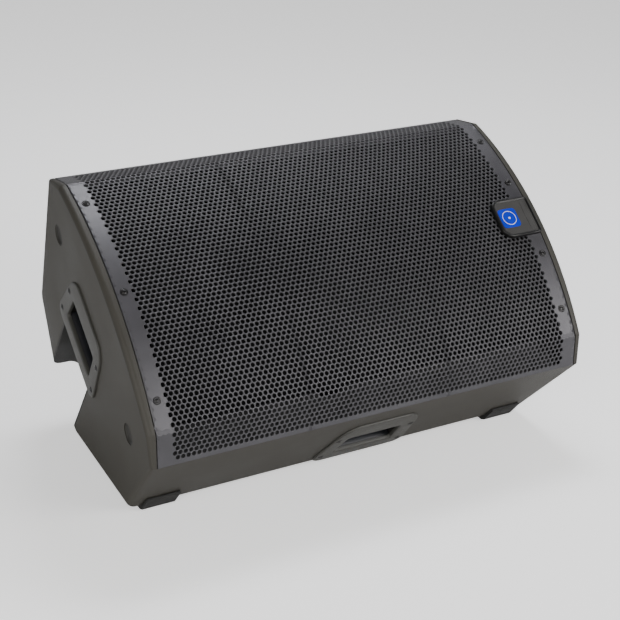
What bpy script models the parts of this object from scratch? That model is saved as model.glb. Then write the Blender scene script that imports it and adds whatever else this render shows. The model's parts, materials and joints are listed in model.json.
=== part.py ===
"""Stage monitor wedge: a moulded two-way powered loudspeaker with a 15-inch woofer.

It lies on its monitor face. Every piece is modelled in the cabinet's own frame, then the whole cabinet is
turned onto its feet:
X runs along the cabinet (top end with the carry handle at -X, base end with the pole socket at +X),
Y runs from the grille to the rear, and Z runs across the width. Lengths are in metres.
"""
import math

import bmesh
import bpy
from mathutils import Matrix, Vector

# Cabinet section: the grille is an arc between two folds, and the outline behind it is a polygon.
FOLD_HALF = 0.1882
ARC_RISE = 0.0331
FLANGE_HALF = 0.2195
FLANGE_DEPTH = 0.0337
FLOOR_EDGE = (0.1971, -0.2143)
REAR_LOW = (0.3411, -0.0429)
REAR_HIGH = (0.3339, 0.0721)
SIDE_EDGE = (0.2724, 0.1665)
CORNER_RADII = (0.012, 0.026, 0.024, 0.032)
CORNER_STEPS = 5
FRONT_EDGE_RADIUS = 0.004
FLANGE_EDGE_RADIUS = 0.005
END_EDGE_RADIUS = 0.016
ARC_STEPS = 16

# Length of the cabinet: its ends close in towards the rear, and the grille stops short of them.
END_HALF = 0.3456
END_TAPER = 0.0661
GRILLE_HALF = 0.3340
GRILLE_GAP = 0.0008
WALL = 0.006
GAP = 0.0003
FIT = 0.0005
FAR = 0.05

# Grille and its fixings
SHEET = 0.0015
FOAM = 0.004
FOAM_HALF = 0.309
SCREW_X = 0.322
LEFT_SCREWS = (-0.147, 0.0, 0.147)
RIGHT_SCREWS = (-0.147, -0.062, 0.062, 0.147)
SCREW_HEAD = 0.0055
SCREW_SHANK = 0.002
SCREW_LENGTH = 0.014
SCREW_HEAD_HIGH = 0.0025
RIB_X = (0.311, 0.3335)
BADGE_X = (0.2715, 0.3335)
BADGE_HALF = 0.031
BADGE_THICK = 0.006
BADGE_SHIFT = -0.008
PLATE_DEEP = 0.002
PLATE_HALF = 0.0155

# Baffle
BAFFLE_Y = (0.036, 0.048)
BAFFLE_X = 0.3333
BAFFLE_STEP = 0.0015
BAFFLE_TOP_GAP = 0.0033
RIB_SET = 0.004
FOAM_SET = 0.010
PORT = (-0.062, 0.150)
PORT_RADIUS = 0.033
PORT_WALL = 0.003
PORT_LENGTH = 0.105

# Woofer, as radii and depths behind the grille's chord
WOOFER_X = 0.113
FLANGE_R = 0.194
CUTOUT_R = 0.178
CONE_R = 0.1545
CONE_Y = 0.029
NECK_R = 0.0385
NECK_Y = 0.098
CAP_R = 0.055
COIL_R = 0.0375
PLATE_Y = 0.1168
MAGNET_Y = (0.1251, 0.1649)
MAGNET_R = 0.088
YOKE_Y = 0.177
YOKE_BORE = 0.008
BASKET_TOP = 0.0057
BASKET_FOOT_Y = (0.1135, 0.1165)
BASKET_WINDOW = (0.030, 0.052, 0.088)
SURROUND_R = 0.1675
SURROUND_ROLL = (0.0085, 0.0080)
SURROUND_UNDER = (0.0073, 0.0068)
SURROUND_THICK = 0.0015
SURROUND_OUTER = 0.186
CAP_RISE = 0.020
SPIDER_R = 0.078
SPIDER_Y = (0.1065, 0.1077)
COIL_END = 0.131
ROUND = 24

# Horn and compression driver
HORN_X = -0.210
HORN_MOUTH = (0.086, 0.136)
HORN_FLANGE = (0.095, 0.150)
THROAT_R = 0.0127
THROAT_Y = 0.150
HORN_WALL = 0.003
HORN_LIP = 0.0037
HORN_FLARE = 1.7
HORN_STEPS = 5
HORN_COUNT = 24
DOME_R = 0.0225
DOME_RISE = 0.006
DOME_SEAT = 0.0245
COVER_WALL = 0.006
DRIVER_R = 0.046
DRIVER_Y = (0.1503, 0.184)
COVER_Y = 0.212

# Carry handles: a plate with an opening, and a grip bar across a pocket that is open at its far side
PLATE_OUTLINE = ((-0.047, 0.0), (0.047, 0.0), (0.063, 0.018), (0.077, 0.110),
                 (0.066, 0.120), (-0.066, 0.120), (-0.077, 0.110), (-0.063, 0.018))
PLATE_THICK = 0.003
SLOT_HALF = 0.049
SLOT_Y = (0.041, 0.093)
BAR_DEPTH = 0.016
POCKET_HALF = 0.055
POCKET_START = 0.034
POCKET_DEPTH = 0.046
CUP_WALL = 0.003
TOP_HANDLE_START = 0.062
TOP_HANDLE_ACROSS = 0.020
SIDE_HANDLE_START = 0.0745
SIDE_HANDLE_X = 0.027
TOP_POCKET_LONG = 0.39
SIDE_POCKET_LONG = 0.24
PLATE_EDGE = 0.0012

# Rigging points, pole socket and feet
RIG_Y = 0.073
RIG_Z = 0.152
RIG_PLUG_R = 0.0145
RIG_PLUG_DEEP = 0.004
INSERT_R = 0.009
INSERT_LENGTH = 0.020
M10_R = 0.0051
POLE = (0.150, 0.0)
POLE_R = 0.018
POLE_WALL = 0.004
POLE_DEEP = 0.085
POLE_FLANGE_R = 0.045
FOOT_HEIGHT = 0.008
FOOT_X = 0.287
FOOT_LONG = 0.050
FOOT_SIDE = 0.030
FOOT_UNDER = 0.036
FOOT_THICK = 0.0080
REAR_FOOT_SET = 0.062
REAR_FOOT_WIDE = 0.034
BASE_FOOT_R = 0.014
BASE_FOOT_THICK = 0.004
FLANGE_THICK = 0.003
BASE_FEET = ((0.075, -0.165), (0.075, 0.165), (0.265, -0.095), (0.265, 0.105))

# Amplifier tray in the rear face
TRAY = (0.212, 0.042)
TRAY_FLANGE = 0.008
TRAY_DEEP = 0.018
TRAY_WALL = 0.002
FIN_BASE = 0.003
FIN_HALF = 0.001
FIN_TOP = -0.002
FIN_SPREAD = 0.036
FIN_X = (-0.205, -0.100)
FIN_COUNT = 9
KNOB_X = (-0.070, -0.035, 0.0)
KNOB_Y = -0.018
KNOB_R = 0.008
KNOB_HEIGHT = 0.012
SHAFT_R = 0.003
BUTTON_X = (-0.060, -0.025)
BUTTON_Y = 0.020
BUTTON = 0.0035
BUTTON_HEIGHT = 0.008
SOCKET_X = (0.040, 0.075, 0.110)
SOCKET_R = 0.012
SOCKET_BORE = 0.0095
SOCKET_DEEP = 0.024
INLET_X = 0.150
ROCKER_X = 0.185
ROCKER = (0.0065, 0.0100)
ROCKER_TILT = math.radians(8)
ROCKER_SINK = 0.002
FACE_THICK = 0.0022
SOCKET_FACE = (0.0130, 0.0155)
SOCKET_BORE_DEEP = 0.014
INLET = (0.0105, 0.0140)
INLET_FACE = (0.0140, 0.0245)
INLET_ROOM = (0.0085, 0.0120)
INLET_ROOM_DEEP = 0.015
BOARD_X = (-0.19, 0.19)
BOARD_HALF = 0.036
BOARD_Z = (-0.0486, -0.0470)
SUPPLY_X = (0.06, 0.18)
SUPPLY_HALF = 0.032
SUPPLY_Z = (-0.0880, -0.0490)


def clear_scene():
    for obj in list(bpy.data.objects):
        bpy.data.objects.remove(obj, do_unlink=True)


def material(name, colour, roughness, metallic=0.0):
    """A Principled material with one colour, made once and shared by the pieces that use it."""
    found = bpy.data.materials.get(name)
    if found:
        return found
    made = bpy.data.materials.new(name)
    made.use_nodes = True
    shader = made.node_tree.nodes["Principled BSDF"]
    shader.inputs["Base Color"].default_value = (*colour, 1.0)
    shader.inputs["Roughness"].default_value = roughness
    shader.inputs["Metallic"].default_value = metallic
    made.diffuse_color = (*colour, 1.0)
    return made


FINISH = {
    "cabinet plastic": ((0.085, 0.080, 0.068), 0.55, 0.0),
    "handle plastic": ((0.100, 0.100, 0.085), 0.5, 0.0),
    "pocket plastic": ((0.020, 0.021, 0.026), 0.6, 0.0),
    "grille steel": ((0.090, 0.088, 0.096), 0.45, 0.6),
    "black plastic": ((0.020, 0.020, 0.020), 0.5, 0.0),
    "blue plastic": ((0.020, 0.080, 0.650), 0.25, 0.0),
    "rubber": ((0.012, 0.012, 0.012), 0.8, 0.0),
    "foam": ((0.010, 0.010, 0.011), 0.95, 0.0),
    "cone paper": ((0.030, 0.030, 0.032), 0.8, 0.0),
    "basket steel": ((0.050, 0.050, 0.052), 0.5, 0.8),
    "plated steel": ((0.550, 0.540, 0.500), 0.35, 1.0),
    "ferrite": ((0.060, 0.060, 0.062), 0.6, 0.2),
    "copper": ((0.700, 0.350, 0.180), 0.35, 1.0),
    "brass": ((0.700, 0.550, 0.250), 0.35, 1.0),
    "titanium": ((0.500, 0.480, 0.460), 0.35, 1.0),
    "panel aluminium": ((0.040, 0.040, 0.042), 0.5, 0.6),
    "circuit board": ((0.020, 0.150, 0.060), 0.5, 0.0),
    "spider cloth": ((0.550, 0.380, 0.180), 0.9, 0.0),
}


def piece(name, mesh, finish, parent, frame=None):
    """An object for one piece, placed in the frame of its parent."""
    obj = bpy.data.objects.new(name, mesh)
    bpy.context.scene.collection.objects.link(obj)
    obj.parent = parent
    if frame is not None:
        obj.matrix_local = frame
    if not mesh.materials:
        mesh.materials.append(material(finish, *FINISH[finish]))
    return obj


def cutter(mesh, parent, frame=None):
    """A shape that only a Boolean reads."""
    obj = bpy.data.objects.new("cutter", mesh)
    bpy.context.scene.collection.objects.link(obj)
    obj.parent = parent
    if frame is not None:
        obj.matrix_local = frame
    obj.hide_render = True
    obj.display_type = "WIRE"
    return obj


def boolean(obj, other, operation="DIFFERENCE"):
    modifier = obj.modifiers.new(operation.lower(), "BOOLEAN")
    modifier.operation = operation
    modifier.solver = "EXACT"
    modifier.object = other


def mesh_of(bm, name, smooth=40):
    """The mesh of a bmesh whose faces are turned outwards, smooth except at its edges."""
    bmesh.ops.recalc_face_normals(bm, faces=bm.faces)
    mesh = bpy.data.meshes.new(name)
    bm.to_mesh(mesh)
    bm.free()
    mesh.shade_smooth()
    mesh.set_sharp_from_angle(angle=math.radians(smooth))
    return mesh


def rings_mesh(name, rings):
    """A closed skin over rings of equal length, with a flat face on the first and the last."""
    bm = bmesh.new()
    rows = [[bm.verts.new(point) for point in ring] for ring in rings]
    for row, after in zip(rows, rows[1:]):
        for i in range(len(row)):
            j = (i + 1) % len(row)
            bm.faces.new((row[i], row[j], after[j], after[i]))
    bm.faces.new(rows[0])
    bm.faces.new(rows[-1])
    return mesh_of(bm, name)


def prism(name, section, low, high):
    """A section in Y and Z, carried along X between two ends, each a number or a function of Y."""
    ends = [end if callable(end) else (lambda y, end=end: end) for end in (low, high)]
    return rings_mesh(name, [[(end(y), y, z) for y, z in section] for end in ends])


def slab(name, outline, low, high):
    """An outline in X and Y, raised along Z."""
    return rings_mesh(name, [[(x, y, z) for x, y in outline] for z in (low, high)])


def box(name, low, high):
    (x0, y0, z0), (x1, y1, z1) = low, high
    return slab(name, ((x0, y0), (x1, y0), (x1, y1), (x0, y1)), z0, z1)


def turned(name, profile, steps=ROUND, closed=True):
    """A profile of (radius, height) points turned round Z. Points on the axis are joined into one."""
    bm = bmesh.new()
    verts = [bm.verts.new((r, 0.0, h)) for r, h in profile]
    pairs = list(zip(verts, verts[1:])) + ([(verts[-1], verts[0])] if closed else [])
    edges = [bm.edges.new(pair) for pair in pairs]
    bmesh.ops.spin(bm, geom=verts + edges, cent=(0, 0, 0), axis=(0, 0, 1),
                   angle=math.tau, steps=steps, use_merge=True)
    bmesh.ops.remove_doubles(bm, verts=bm.verts, dist=1e-6)
    bmesh.ops.dissolve_degenerate(bm, edges=bm.edges, dist=1e-6)
    return mesh_of(bm, name)


def disc(name, radius, low, high, steps=24):
    """A plain round bar along Z."""
    rings = [[(radius * math.cos(a), radius * math.sin(a), z)
              for a in (math.tau * i / steps for i in range(steps))] for z in (low, high)]
    return rings_mesh(name, rings)


def ring(inner, outer, low, high):
    return ((inner, low), (outer, low), (outer, high), (inner, high))


def arc_y(z, inset=0.0):
    """Depth of the grille's arc at a place across the width, or of an arc that much further in."""
    radius = (FOLD_HALF ** 2 + ARC_RISE ** 2) / (2 * ARC_RISE)
    return radius - ARC_RISE - math.sqrt((radius - inset) ** 2 - z * z)


def arc_points(half, inset=0.0, steps=ARC_STEPS):
    """Points of the arc from -half to +half across the width."""
    return [(arc_y(z, inset), z) for z in (half * (2 * i / steps - 1) for i in range(steps + 1))]


def rounded_corner(before, corner, after, radius, steps):
    """The arc that takes the place of a corner."""
    a, b, c = (Vector(p) for p in (before, corner, after))
    to_a, to_c = (a - b).normalized(), (c - b).normalized()
    half = to_a.angle(to_c) / 2
    centre = b + (to_a + to_c).normalized() * radius / math.sin(half)
    start = b + to_a * radius / math.tan(half) - centre
    sweep = math.pi - 2 * half
    sign = 1 if start.x * to_c.y - start.y * to_c.x > 0 else -1
    return [tuple(centre + Matrix.Rotation(sign * sweep * i / steps, 2) @ start) for i in range(steps + 1)]


def cabinet_outline():
    """The section of the cabinet with, for each point, the radius of the end's rounded edge there."""
    front = [(y, z, FRONT_EDGE_RADIUS) for y, z in reversed(arc_points(FOLD_HALF))]
    low, high = (FLANGE_DEPTH, -FLANGE_HALF), (FLANGE_DEPTH, FLANGE_HALF)
    chain = [low, FLOOR_EDGE, REAR_LOW, REAR_HIGH, SIDE_EDGE, high]
    points = front + [(*low, FLANGE_EDGE_RADIUS)]
    for i, radius in enumerate(CORNER_RADII):
        end_radius = min(END_EDGE_RADIUS, radius)
        arc = rounded_corner(*chain[i:i + 3], radius, CORNER_STEPS)
        points += [(y, z, end_radius) for y, z in arc]
    return points + [(*high, FLANGE_EDGE_RADIUS)]


def inset_points(section, insets):
    """The points of a closed section moved inwards, each square to its own stretch of outline."""
    count = len(section)
    moved = []
    for i, (y, z) in enumerate(section):
        here = Vector((y, z))
        before, after = Vector(section[i - 1]), Vector(section[(i + 1) % count])
        n1, n2 = ((q - p).normalized() for p, q in ((before, here), (here, after)))
        n1, n2 = Vector((n1.y, -n1.x)), Vector((n2.y, -n2.x))
        across = (n1 + n2).normalized()
        here = here - across * insets[i] / max(across.dot(n1), 0.5)
        moved.append((here.x, here.y))
    return moved


def end_x(y):
    return END_HALF - END_TAPER * y


def cabinet_body(name):
    """The solid outer form: the section carried along X, with rounded edges at both ends."""
    outline = cabinet_outline()
    section = [(y, z) for y, z, _ in outline]
    radii = [r for _, _, r in outline]
    rings = []
    for i in range(CORNER_STEPS + 1):
        turn = math.pi / 2 * i / CORNER_STEPS
        shrunk = inset_points(section, [r * (1 - math.sin(turn)) for r in radii])
        rings.append([(end_x(y) - r * (1 - math.cos(turn)), y, z) for (y, z), r in zip(shrunk, radii)])
    left = [[(-x, y, z) for x, y, z in row] for row in rings]
    return rings_mesh(name, left + rings[::-1])


CABINET_SECTION = [(y, z) for y, z, _ in cabinet_outline()]
FLOOR_RUN = Vector(REAR_LOW) - Vector(FLOOR_EDGE)
MONITOR_TURN = -math.atan2(FLOOR_RUN.y, FLOOR_RUN.x)


def grille_outline(inset):
    """The bent sheet from one free edge, round both folds, to the other, moved in by an inset."""
    run = Vector((FLANGE_DEPTH, FLANGE_HALF - FOLD_HALF)).normalized()
    edge = FLANGE_HALF - inset / run.x
    return [(FLANGE_DEPTH, -edge)] + arc_points(FOLD_HALF - 0.45 * inset, inset) + [(FLANGE_DEPTH, edge)]


def centred_location():
    """Where the cabinet's frame goes, so that it stands on its feet with its box centred on the origin."""
    turn = Matrix.Rotation(MONITOR_TURN, 3, "X")
    points = [turn @ Vector((0, y, z)) for y, z in CABINET_SECTION]
    floor = (turn @ Vector((0, *FLOOR_EDGE))).z
    middle = (min(p.y for p in points) + max(p.y for p in points)) / 2
    return Vector((0, -middle, FOOT_HEIGHT - floor))


def empty(name, parent, frame):
    obj = bpy.data.objects.new(name, None)
    bpy.context.scene.collection.objects.link(obj)
    obj.parent = parent
    obj.matrix_local = frame
    return obj


def axes_frame(origin, x, y, z):
    """A frame from its origin and its three axes."""
    rows = Matrix((x, y, z)).transposed().to_4x4()
    rows.translation = origin
    return rows


def end_frame(side, y, z):
    """A frame on an end of the cabinet: its Z points out, and its Y runs to the rear."""
    slope = math.atan(END_TAPER)
    out = Vector((side * math.cos(slope), math.sin(slope), 0))
    back = Vector((-side * math.sin(slope), math.cos(slope), 0))
    return axes_frame(Vector((side * end_x(y), y, z)), back.cross(out), back, out)


def floor_side_frame(x, y):
    """A frame on the side panel that meets the floor edge: Z points out, and Y runs to the rear."""
    run = Vector((0, FLOOR_EDGE[0] - FLANGE_DEPTH, FLOOR_EDGE[1] + FLANGE_HALF)).normalized()
    out = Vector((0, run.z, -run.y))
    at = Vector((x, y, -FLANGE_HALF + (y - FLANGE_DEPTH) * run.z / run.y))
    return axes_frame(at, run.cross(out), run, out)


def rear_frame():
    """A frame in the middle of the rear face: Z points out, and X runs to the base end."""
    low, high = Vector((0, *REAR_LOW)), Vector((0, *REAR_HIGH))
    out = Vector((0, high.z - low.z, low.y - high.y)).normalized()
    along = Vector((1, 0, 0))
    return axes_frame((low + high) / 2, along, out.cross(along), out)


def floor_frame(x):
    """A frame on the floor edge: Z points down to the floor, and Y runs to the rear edge."""
    run = Vector((0, FLOOR_RUN.x, FLOOR_RUN.y)).normalized()
    out = Vector((0, run.z, -run.y))
    return axes_frame(Vector((x, *FLOOR_EDGE)), run.cross(out), run, out)


def driver_frame(x):
    """A frame on a driver's axis: Z runs to the rear."""
    return axes_frame(Vector((x, 0, 0)), Vector((1, 0, 0)), Vector((0, 0, -1)), Vector((0, 1, 0)))


def make_cabinet(cabinet):
    """The moulded shell, hollow and open at the front, with its pockets, holes and tray opening."""
    shell = piece("cabinet_shell", cabinet_body("cabinet_shell"), "cabinet plastic", cabinet)
    inner = inset_points(CABINET_SECTION, [WALL] * len(CABINET_SECTION))
    cut_y = BAFFLE_Y[0] - BAFFLE_STEP
    hollow = [p for p in inner if p[0] > BAFFLE_Y[1]]
    mouth_y = cut_y - GAP
    low_slope = (FLANGE_HALF + FLOOR_EDGE[1]) / (FLOOR_EDGE[0] - FLANGE_DEPTH)
    high_slope = (FLANGE_HALF - SIDE_EDGE[1]) / (SIDE_EDGE[0] - FLANGE_DEPTH)
    front_low = (mouth_y, hollow[0][1] - (hollow[0][0] - mouth_y) * low_slope)
    front_high = (mouth_y, hollow[-1][1] + (hollow[-1][0] - mouth_y) * high_slope)
    section = [front_low] + hollow + [front_high]
    room = prism("hollow", section, lambda y: WALL - end_x(y), lambda y: end_x(y) - WALL)
    boolean(shell, cutter(room, cabinet))
    reach = GRILLE_HALF + GRILLE_GAP
    front = ((-0.1, -0.3), (cut_y, -0.3), (cut_y, 0.3), (-0.1, 0.3))
    boolean(shell, cutter(prism("grille_recess", front, -reach, reach), cabinet))
    return shell


def cut_pocket(shell, frame, length):
    """Room in the shell for a handle's pocket."""
    room = box("pocket_room", (-POCKET_HALF - FIT, POCKET_START - FIT, -POCKET_DEPTH - CUP_WALL - FIT),
               (POCKET_HALF + FIT, length, FAR))
    boolean(shell, cutter(room, shell.parent, frame))


def make_handle(name, cabinet, body, frame, length):
    """A pocket moulding that runs out at the far side, and the plate with the grip bar over it."""
    low = -POCKET_DEPTH - CUP_WALL
    cup = piece(name + "_cup", box("cup", (-POCKET_HALF, POCKET_START, low), (POCKET_HALF, length, 0.02)),
                "pocket plastic", cabinet, frame)
    inside = box("cup_room", (CUP_WALL - POCKET_HALF, POCKET_START + CUP_WALL, -POCKET_DEPTH),
                 (POCKET_HALF - CUP_WALL, length + 0.02, FAR))
    boolean(cup, cutter(inside, cabinet, frame))
    boolean(cup, body, "INTERSECT")
    cover = slab("plate", PLATE_OUTLINE, GAP, PLATE_THICK + GAP)
    plate = piece(name + "_plate", cover, "handle plastic", cabinet, frame)
    bar_half = SLOT_HALF + 0.001
    bar = box("bar", (-bar_half, SLOT_Y[1] - 0.003, -BAR_DEPTH),
              (bar_half, PLATE_OUTLINE[4][1] - 0.003, PLATE_THICK * 0.6))
    boolean(plate, cutter(bar, cabinet, frame), "UNION")
    slot = box("slot", (-SLOT_HALF, SLOT_Y[0], -0.03), (SLOT_HALF, SLOT_Y[1], 0.03))
    boolean(plate, cutter(slot, cabinet, frame))
    bevel = plate.modifiers.new("soft edges", "BEVEL")
    bevel.width = PLATE_EDGE
    bevel.segments = 1
    bevel.limit_method = "ANGLE"
    bevel.angle_limit = math.radians(40)


def screw_mesh():
    """A pan-head screw along Z with its head above zero."""
    turns = [math.pi / 2 * i / 3 for i in range(4)]
    head = [(SCREW_HEAD * math.cos(a), SCREW_HEAD_HIGH * math.sin(a)) for a in turns]
    profile = [(0, -SCREW_LENGTH), (SCREW_SHANK, -SCREW_LENGTH + 0.001), (SCREW_SHANK, 0)] + head
    return turned("grille_screw", profile, 10, closed=False)


def screw_places():
    left = [(-SCREW_X, z) for z in LEFT_SCREWS]
    return left + [(SCREW_X, z) for z in RIGHT_SCREWS]


def screw_frame(x, z):
    """A frame on the grille: Z points out, square to the arc."""
    radius = (FOLD_HALF ** 2 + ARC_RISE ** 2) / (2 * ARC_RISE)
    lean = math.asin(z / radius)
    out = Vector((0, -math.cos(lean), math.sin(lean)))
    along = Vector((1, 0, 0))
    at = Vector((x, arc_y(z), z)) + out * GAP
    return axes_frame(at, along, out.cross(along), out)


def make_front(cabinet):
    """Baffle with its end ribs, foam, bent grille, grille screws and badge."""
    high = FLANGE_HALF - WALL - FIT - BAFFLE_TOP_GAP
    low = -FLANGE_HALF + WALL + FIT
    front, back = BAFFLE_Y
    section = ((front, low), (back, low), (back, high), (front, high))
    plate = prism("front_baffle", section, -BAFFLE_X, BAFFLE_X)
    baffle = piece("front_baffle", plate, "black plastic", cabinet)
    rib_half = FOLD_HALF - RIB_SET
    rib = [(front + RIB_SET, -rib_half)] + arc_points(rib_half, SHEET + FIT) + [(front + RIB_SET, rib_half)]
    for side in (-1, 1):
        ends = sorted(side * x for x in RIB_X)
        boolean(baffle, cutter(prism("rib", rib, *ends), cabinet), "UNION")
    woofer_hole = disc("woofer_hole", CUTOUT_R, 0.02, 0.07, 2 * ROUND)
    boolean(baffle, cutter(woofer_hole, cabinet, driver_frame(WOOFER_X)))
    half, tall = (size + HORN_WALL + 0.001 for size in HORN_MOUTH)
    mouth = box("horn_hole", (-half, -tall, 0.02), (half, tall, 0.07))
    boolean(baffle, cutter(mouth, cabinet, driver_frame(HORN_X)))
    for side in (-1, 1):
        port = driver_frame(PORT[0])
        port.translation.z = side * PORT[1]
        boolean(baffle, cutter(disc("port_hole", PORT_RADIUS + GAP, 0.02, 0.07), cabinet, port))
    outer, inner = (arc_points(FOLD_HALF - FOAM_SET, SHEET + FIT + deep) for deep in (0.0, FOAM))
    piece("grille_foam", prism("grille_foam", outer + inner[::-1], -FOAM_HALF, FOAM_HALF), "foam", cabinet)
    sheet = grille_outline(0.0) + grille_outline(SHEET)[::-1]
    grille = piece("grille", prism("grille", sheet, -GRILLE_HALF, GRILLE_HALF), "grille steel", cabinet)
    screw = screw_mesh()
    for i, (x, z) in enumerate(screw_places()):
        frame = screw_frame(x, z)
        piece(f"grille_screw_{i + 1}", screw, "plated steel", cabinet, frame)
        drill = disc("screw_hole", SCREW_SHANK + GAP, -SCREW_LENGTH - 0.001, 0.01, 12)
        hole = cutter(drill, cabinet, frame)
        boolean(grille, hole)
        boolean(baffle, hole)
    make_badge(cabinet)


def make_badge(cabinet):
    """A square housing on the grille at its base end, with a plain coloured plate let into it."""
    middle = (BADGE_X[0] + BADGE_X[1]) / 2
    half = (BADGE_X[1] - BADGE_X[0]) / 2
    out = Vector((0, -1, 0))
    along = Vector((1, 0, 0))
    frame = axes_frame(Vector((middle, -ARC_RISE - GAP, 0)), along, out.cross(along), out)
    base = box("badge_housing", (-half, -BADGE_HALF, 0), (half, BADGE_HALF, BADGE_THICK))
    housing = piece("badge_housing", base, "black plastic", cabinet, frame)
    low, reach = BADGE_THICK - PLATE_DEEP, PLATE_HALF + FIT
    room = box("badge_room", (BADGE_SHIFT - reach, -reach, low), (BADGE_SHIFT + reach, reach, FAR))
    boolean(housing, cutter(room, cabinet, frame))
    plate = box("badge_plate", (BADGE_SHIFT - PLATE_HALF, -PLATE_HALF, low + GAP),
                (BADGE_SHIFT + PLATE_HALF, PLATE_HALF, BADGE_THICK))
    piece("badge_plate", plate, "blue plastic", cabinet, frame)


def superellipse(a, b, power, count):
    """Points of a rounded rectangle, which nears a circle as the power nears 2."""
    points = []
    for i in range(count):
        angle = math.tau * (i + 0.5) / count
        c, s = math.cos(angle), math.sin(angle)
        x = a * math.copysign(abs(c) ** (2 / power), c)
        points.append((x, b * math.copysign(abs(s) ** (2 / power), s)))
    return points


def make_horn(cabinet):
    """The flared waveguide with its flange, and the compression driver on its throat."""
    frame = driver_frame(HORN_X)
    count = HORN_COUNT
    front, back = BAFFLE_Y[0] - 0.0040, THROAT_Y
    inner, outer = [], []
    for i in range(HORN_STEPS + 1):
        t = i / HORN_STEPS
        flare = (1 - t) ** HORN_FLARE
        a = THROAT_R + (HORN_MOUTH[0] - THROAT_R) * flare
        b = THROAT_R + (HORN_MOUTH[1] - THROAT_R) * flare
        power = 2 + 6 * (1 - t) ** 2
        y = front + (back - front) * t
        inner.append([(x, z, y) for x, z in superellipse(a, b, power, count)])
        outer.append([(x, z, y) for x, z in superellipse(a + HORN_WALL, b + HORN_WALL, power, count)])
    rim_front = [(x, z, front) for x, z in superellipse(*HORN_FLANGE, 8, count)]
    rim_back = [(x, z, front + HORN_LIP) for x, z, _ in rim_front]
    outer[0] = [(x, z, front + HORN_LIP) for x, z, _ in outer[0]]
    loop = inner[::-1] + [rim_front, rim_back] + outer
    bm = bmesh.new()
    rows = [[bm.verts.new(p) for p in row] for row in loop]
    for row, after in zip(rows, rows[1:] + rows[:1]):
        for i in range(count):
            j = (i + 1) % count
            bm.faces.new((row[i], row[j], after[j], after[i]))
    piece("horn_waveguide", mesh_of(bm, "horn_waveguide"), "black plastic", cabinet, frame)
    low, high = DRIVER_Y
    body = ((THROAT_R, low), (DRIVER_R, low), (DRIVER_R, high), (DOME_SEAT, high),
            (DOME_SEAT, high - 0.004), (THROAT_R, high - 0.012))
    piece("hf_driver_body", turned("hf_driver_body", body, 24), "ferrite", cabinet, frame)
    dome = [(DOME_R * math.cos(a), high + 0.0015 + DOME_RISE * math.sin(a))
            for a in (math.pi / 2 * i / 4 for i in range(5))]
    under = [(r * 0.98, y - 0.0006) for r, y in reversed(dome)]
    diaphragm = turned("hf_diaphragm", dome + under, 24, closed=True)
    piece("hf_diaphragm", diaphragm, "titanium", cabinet, frame)
    rim, roof = high + GAP, COVER_Y - COVER_WALL
    cover = ((0, COVER_Y), (DRIVER_R - 0.004, COVER_Y), (DRIVER_R - 0.002, rim), (DRIVER_R - 0.010, rim),
             (DRIVER_R - 0.010, roof), (0, roof))
    piece("hf_rear_cover", turned("hf_rear_cover", cover, 24), "black plastic", cabinet, frame)


def make_ports(cabinet):
    """Two flanged tubes through the baffle, one above the other."""
    for i, side in enumerate((-1, 1)):
        frame = driver_frame(PORT[0])
        frame.translation.z = side * PORT[1]
        r, front = PORT_RADIUS, BAFFLE_Y[0] - GAP
        tube = ((r - PORT_WALL, front - 0.002), (r + 0.002, front - 0.002), (r + 0.002, front), (r, front),
                (r, front + PORT_LENGTH), (r - PORT_WALL, front + PORT_LENGTH))
        piece(f"port_tube_{i + 1}", turned("port_tube", tube, 20), "black plastic", cabinet, frame)


def cone_y(r):
    """Depth of the cone's front face at a radius: a straight flare from its rim to its neck."""
    return CONE_Y + (CONE_R - r) / (CONE_R - NECK_R) * (NECK_Y - CONE_Y)


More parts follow.
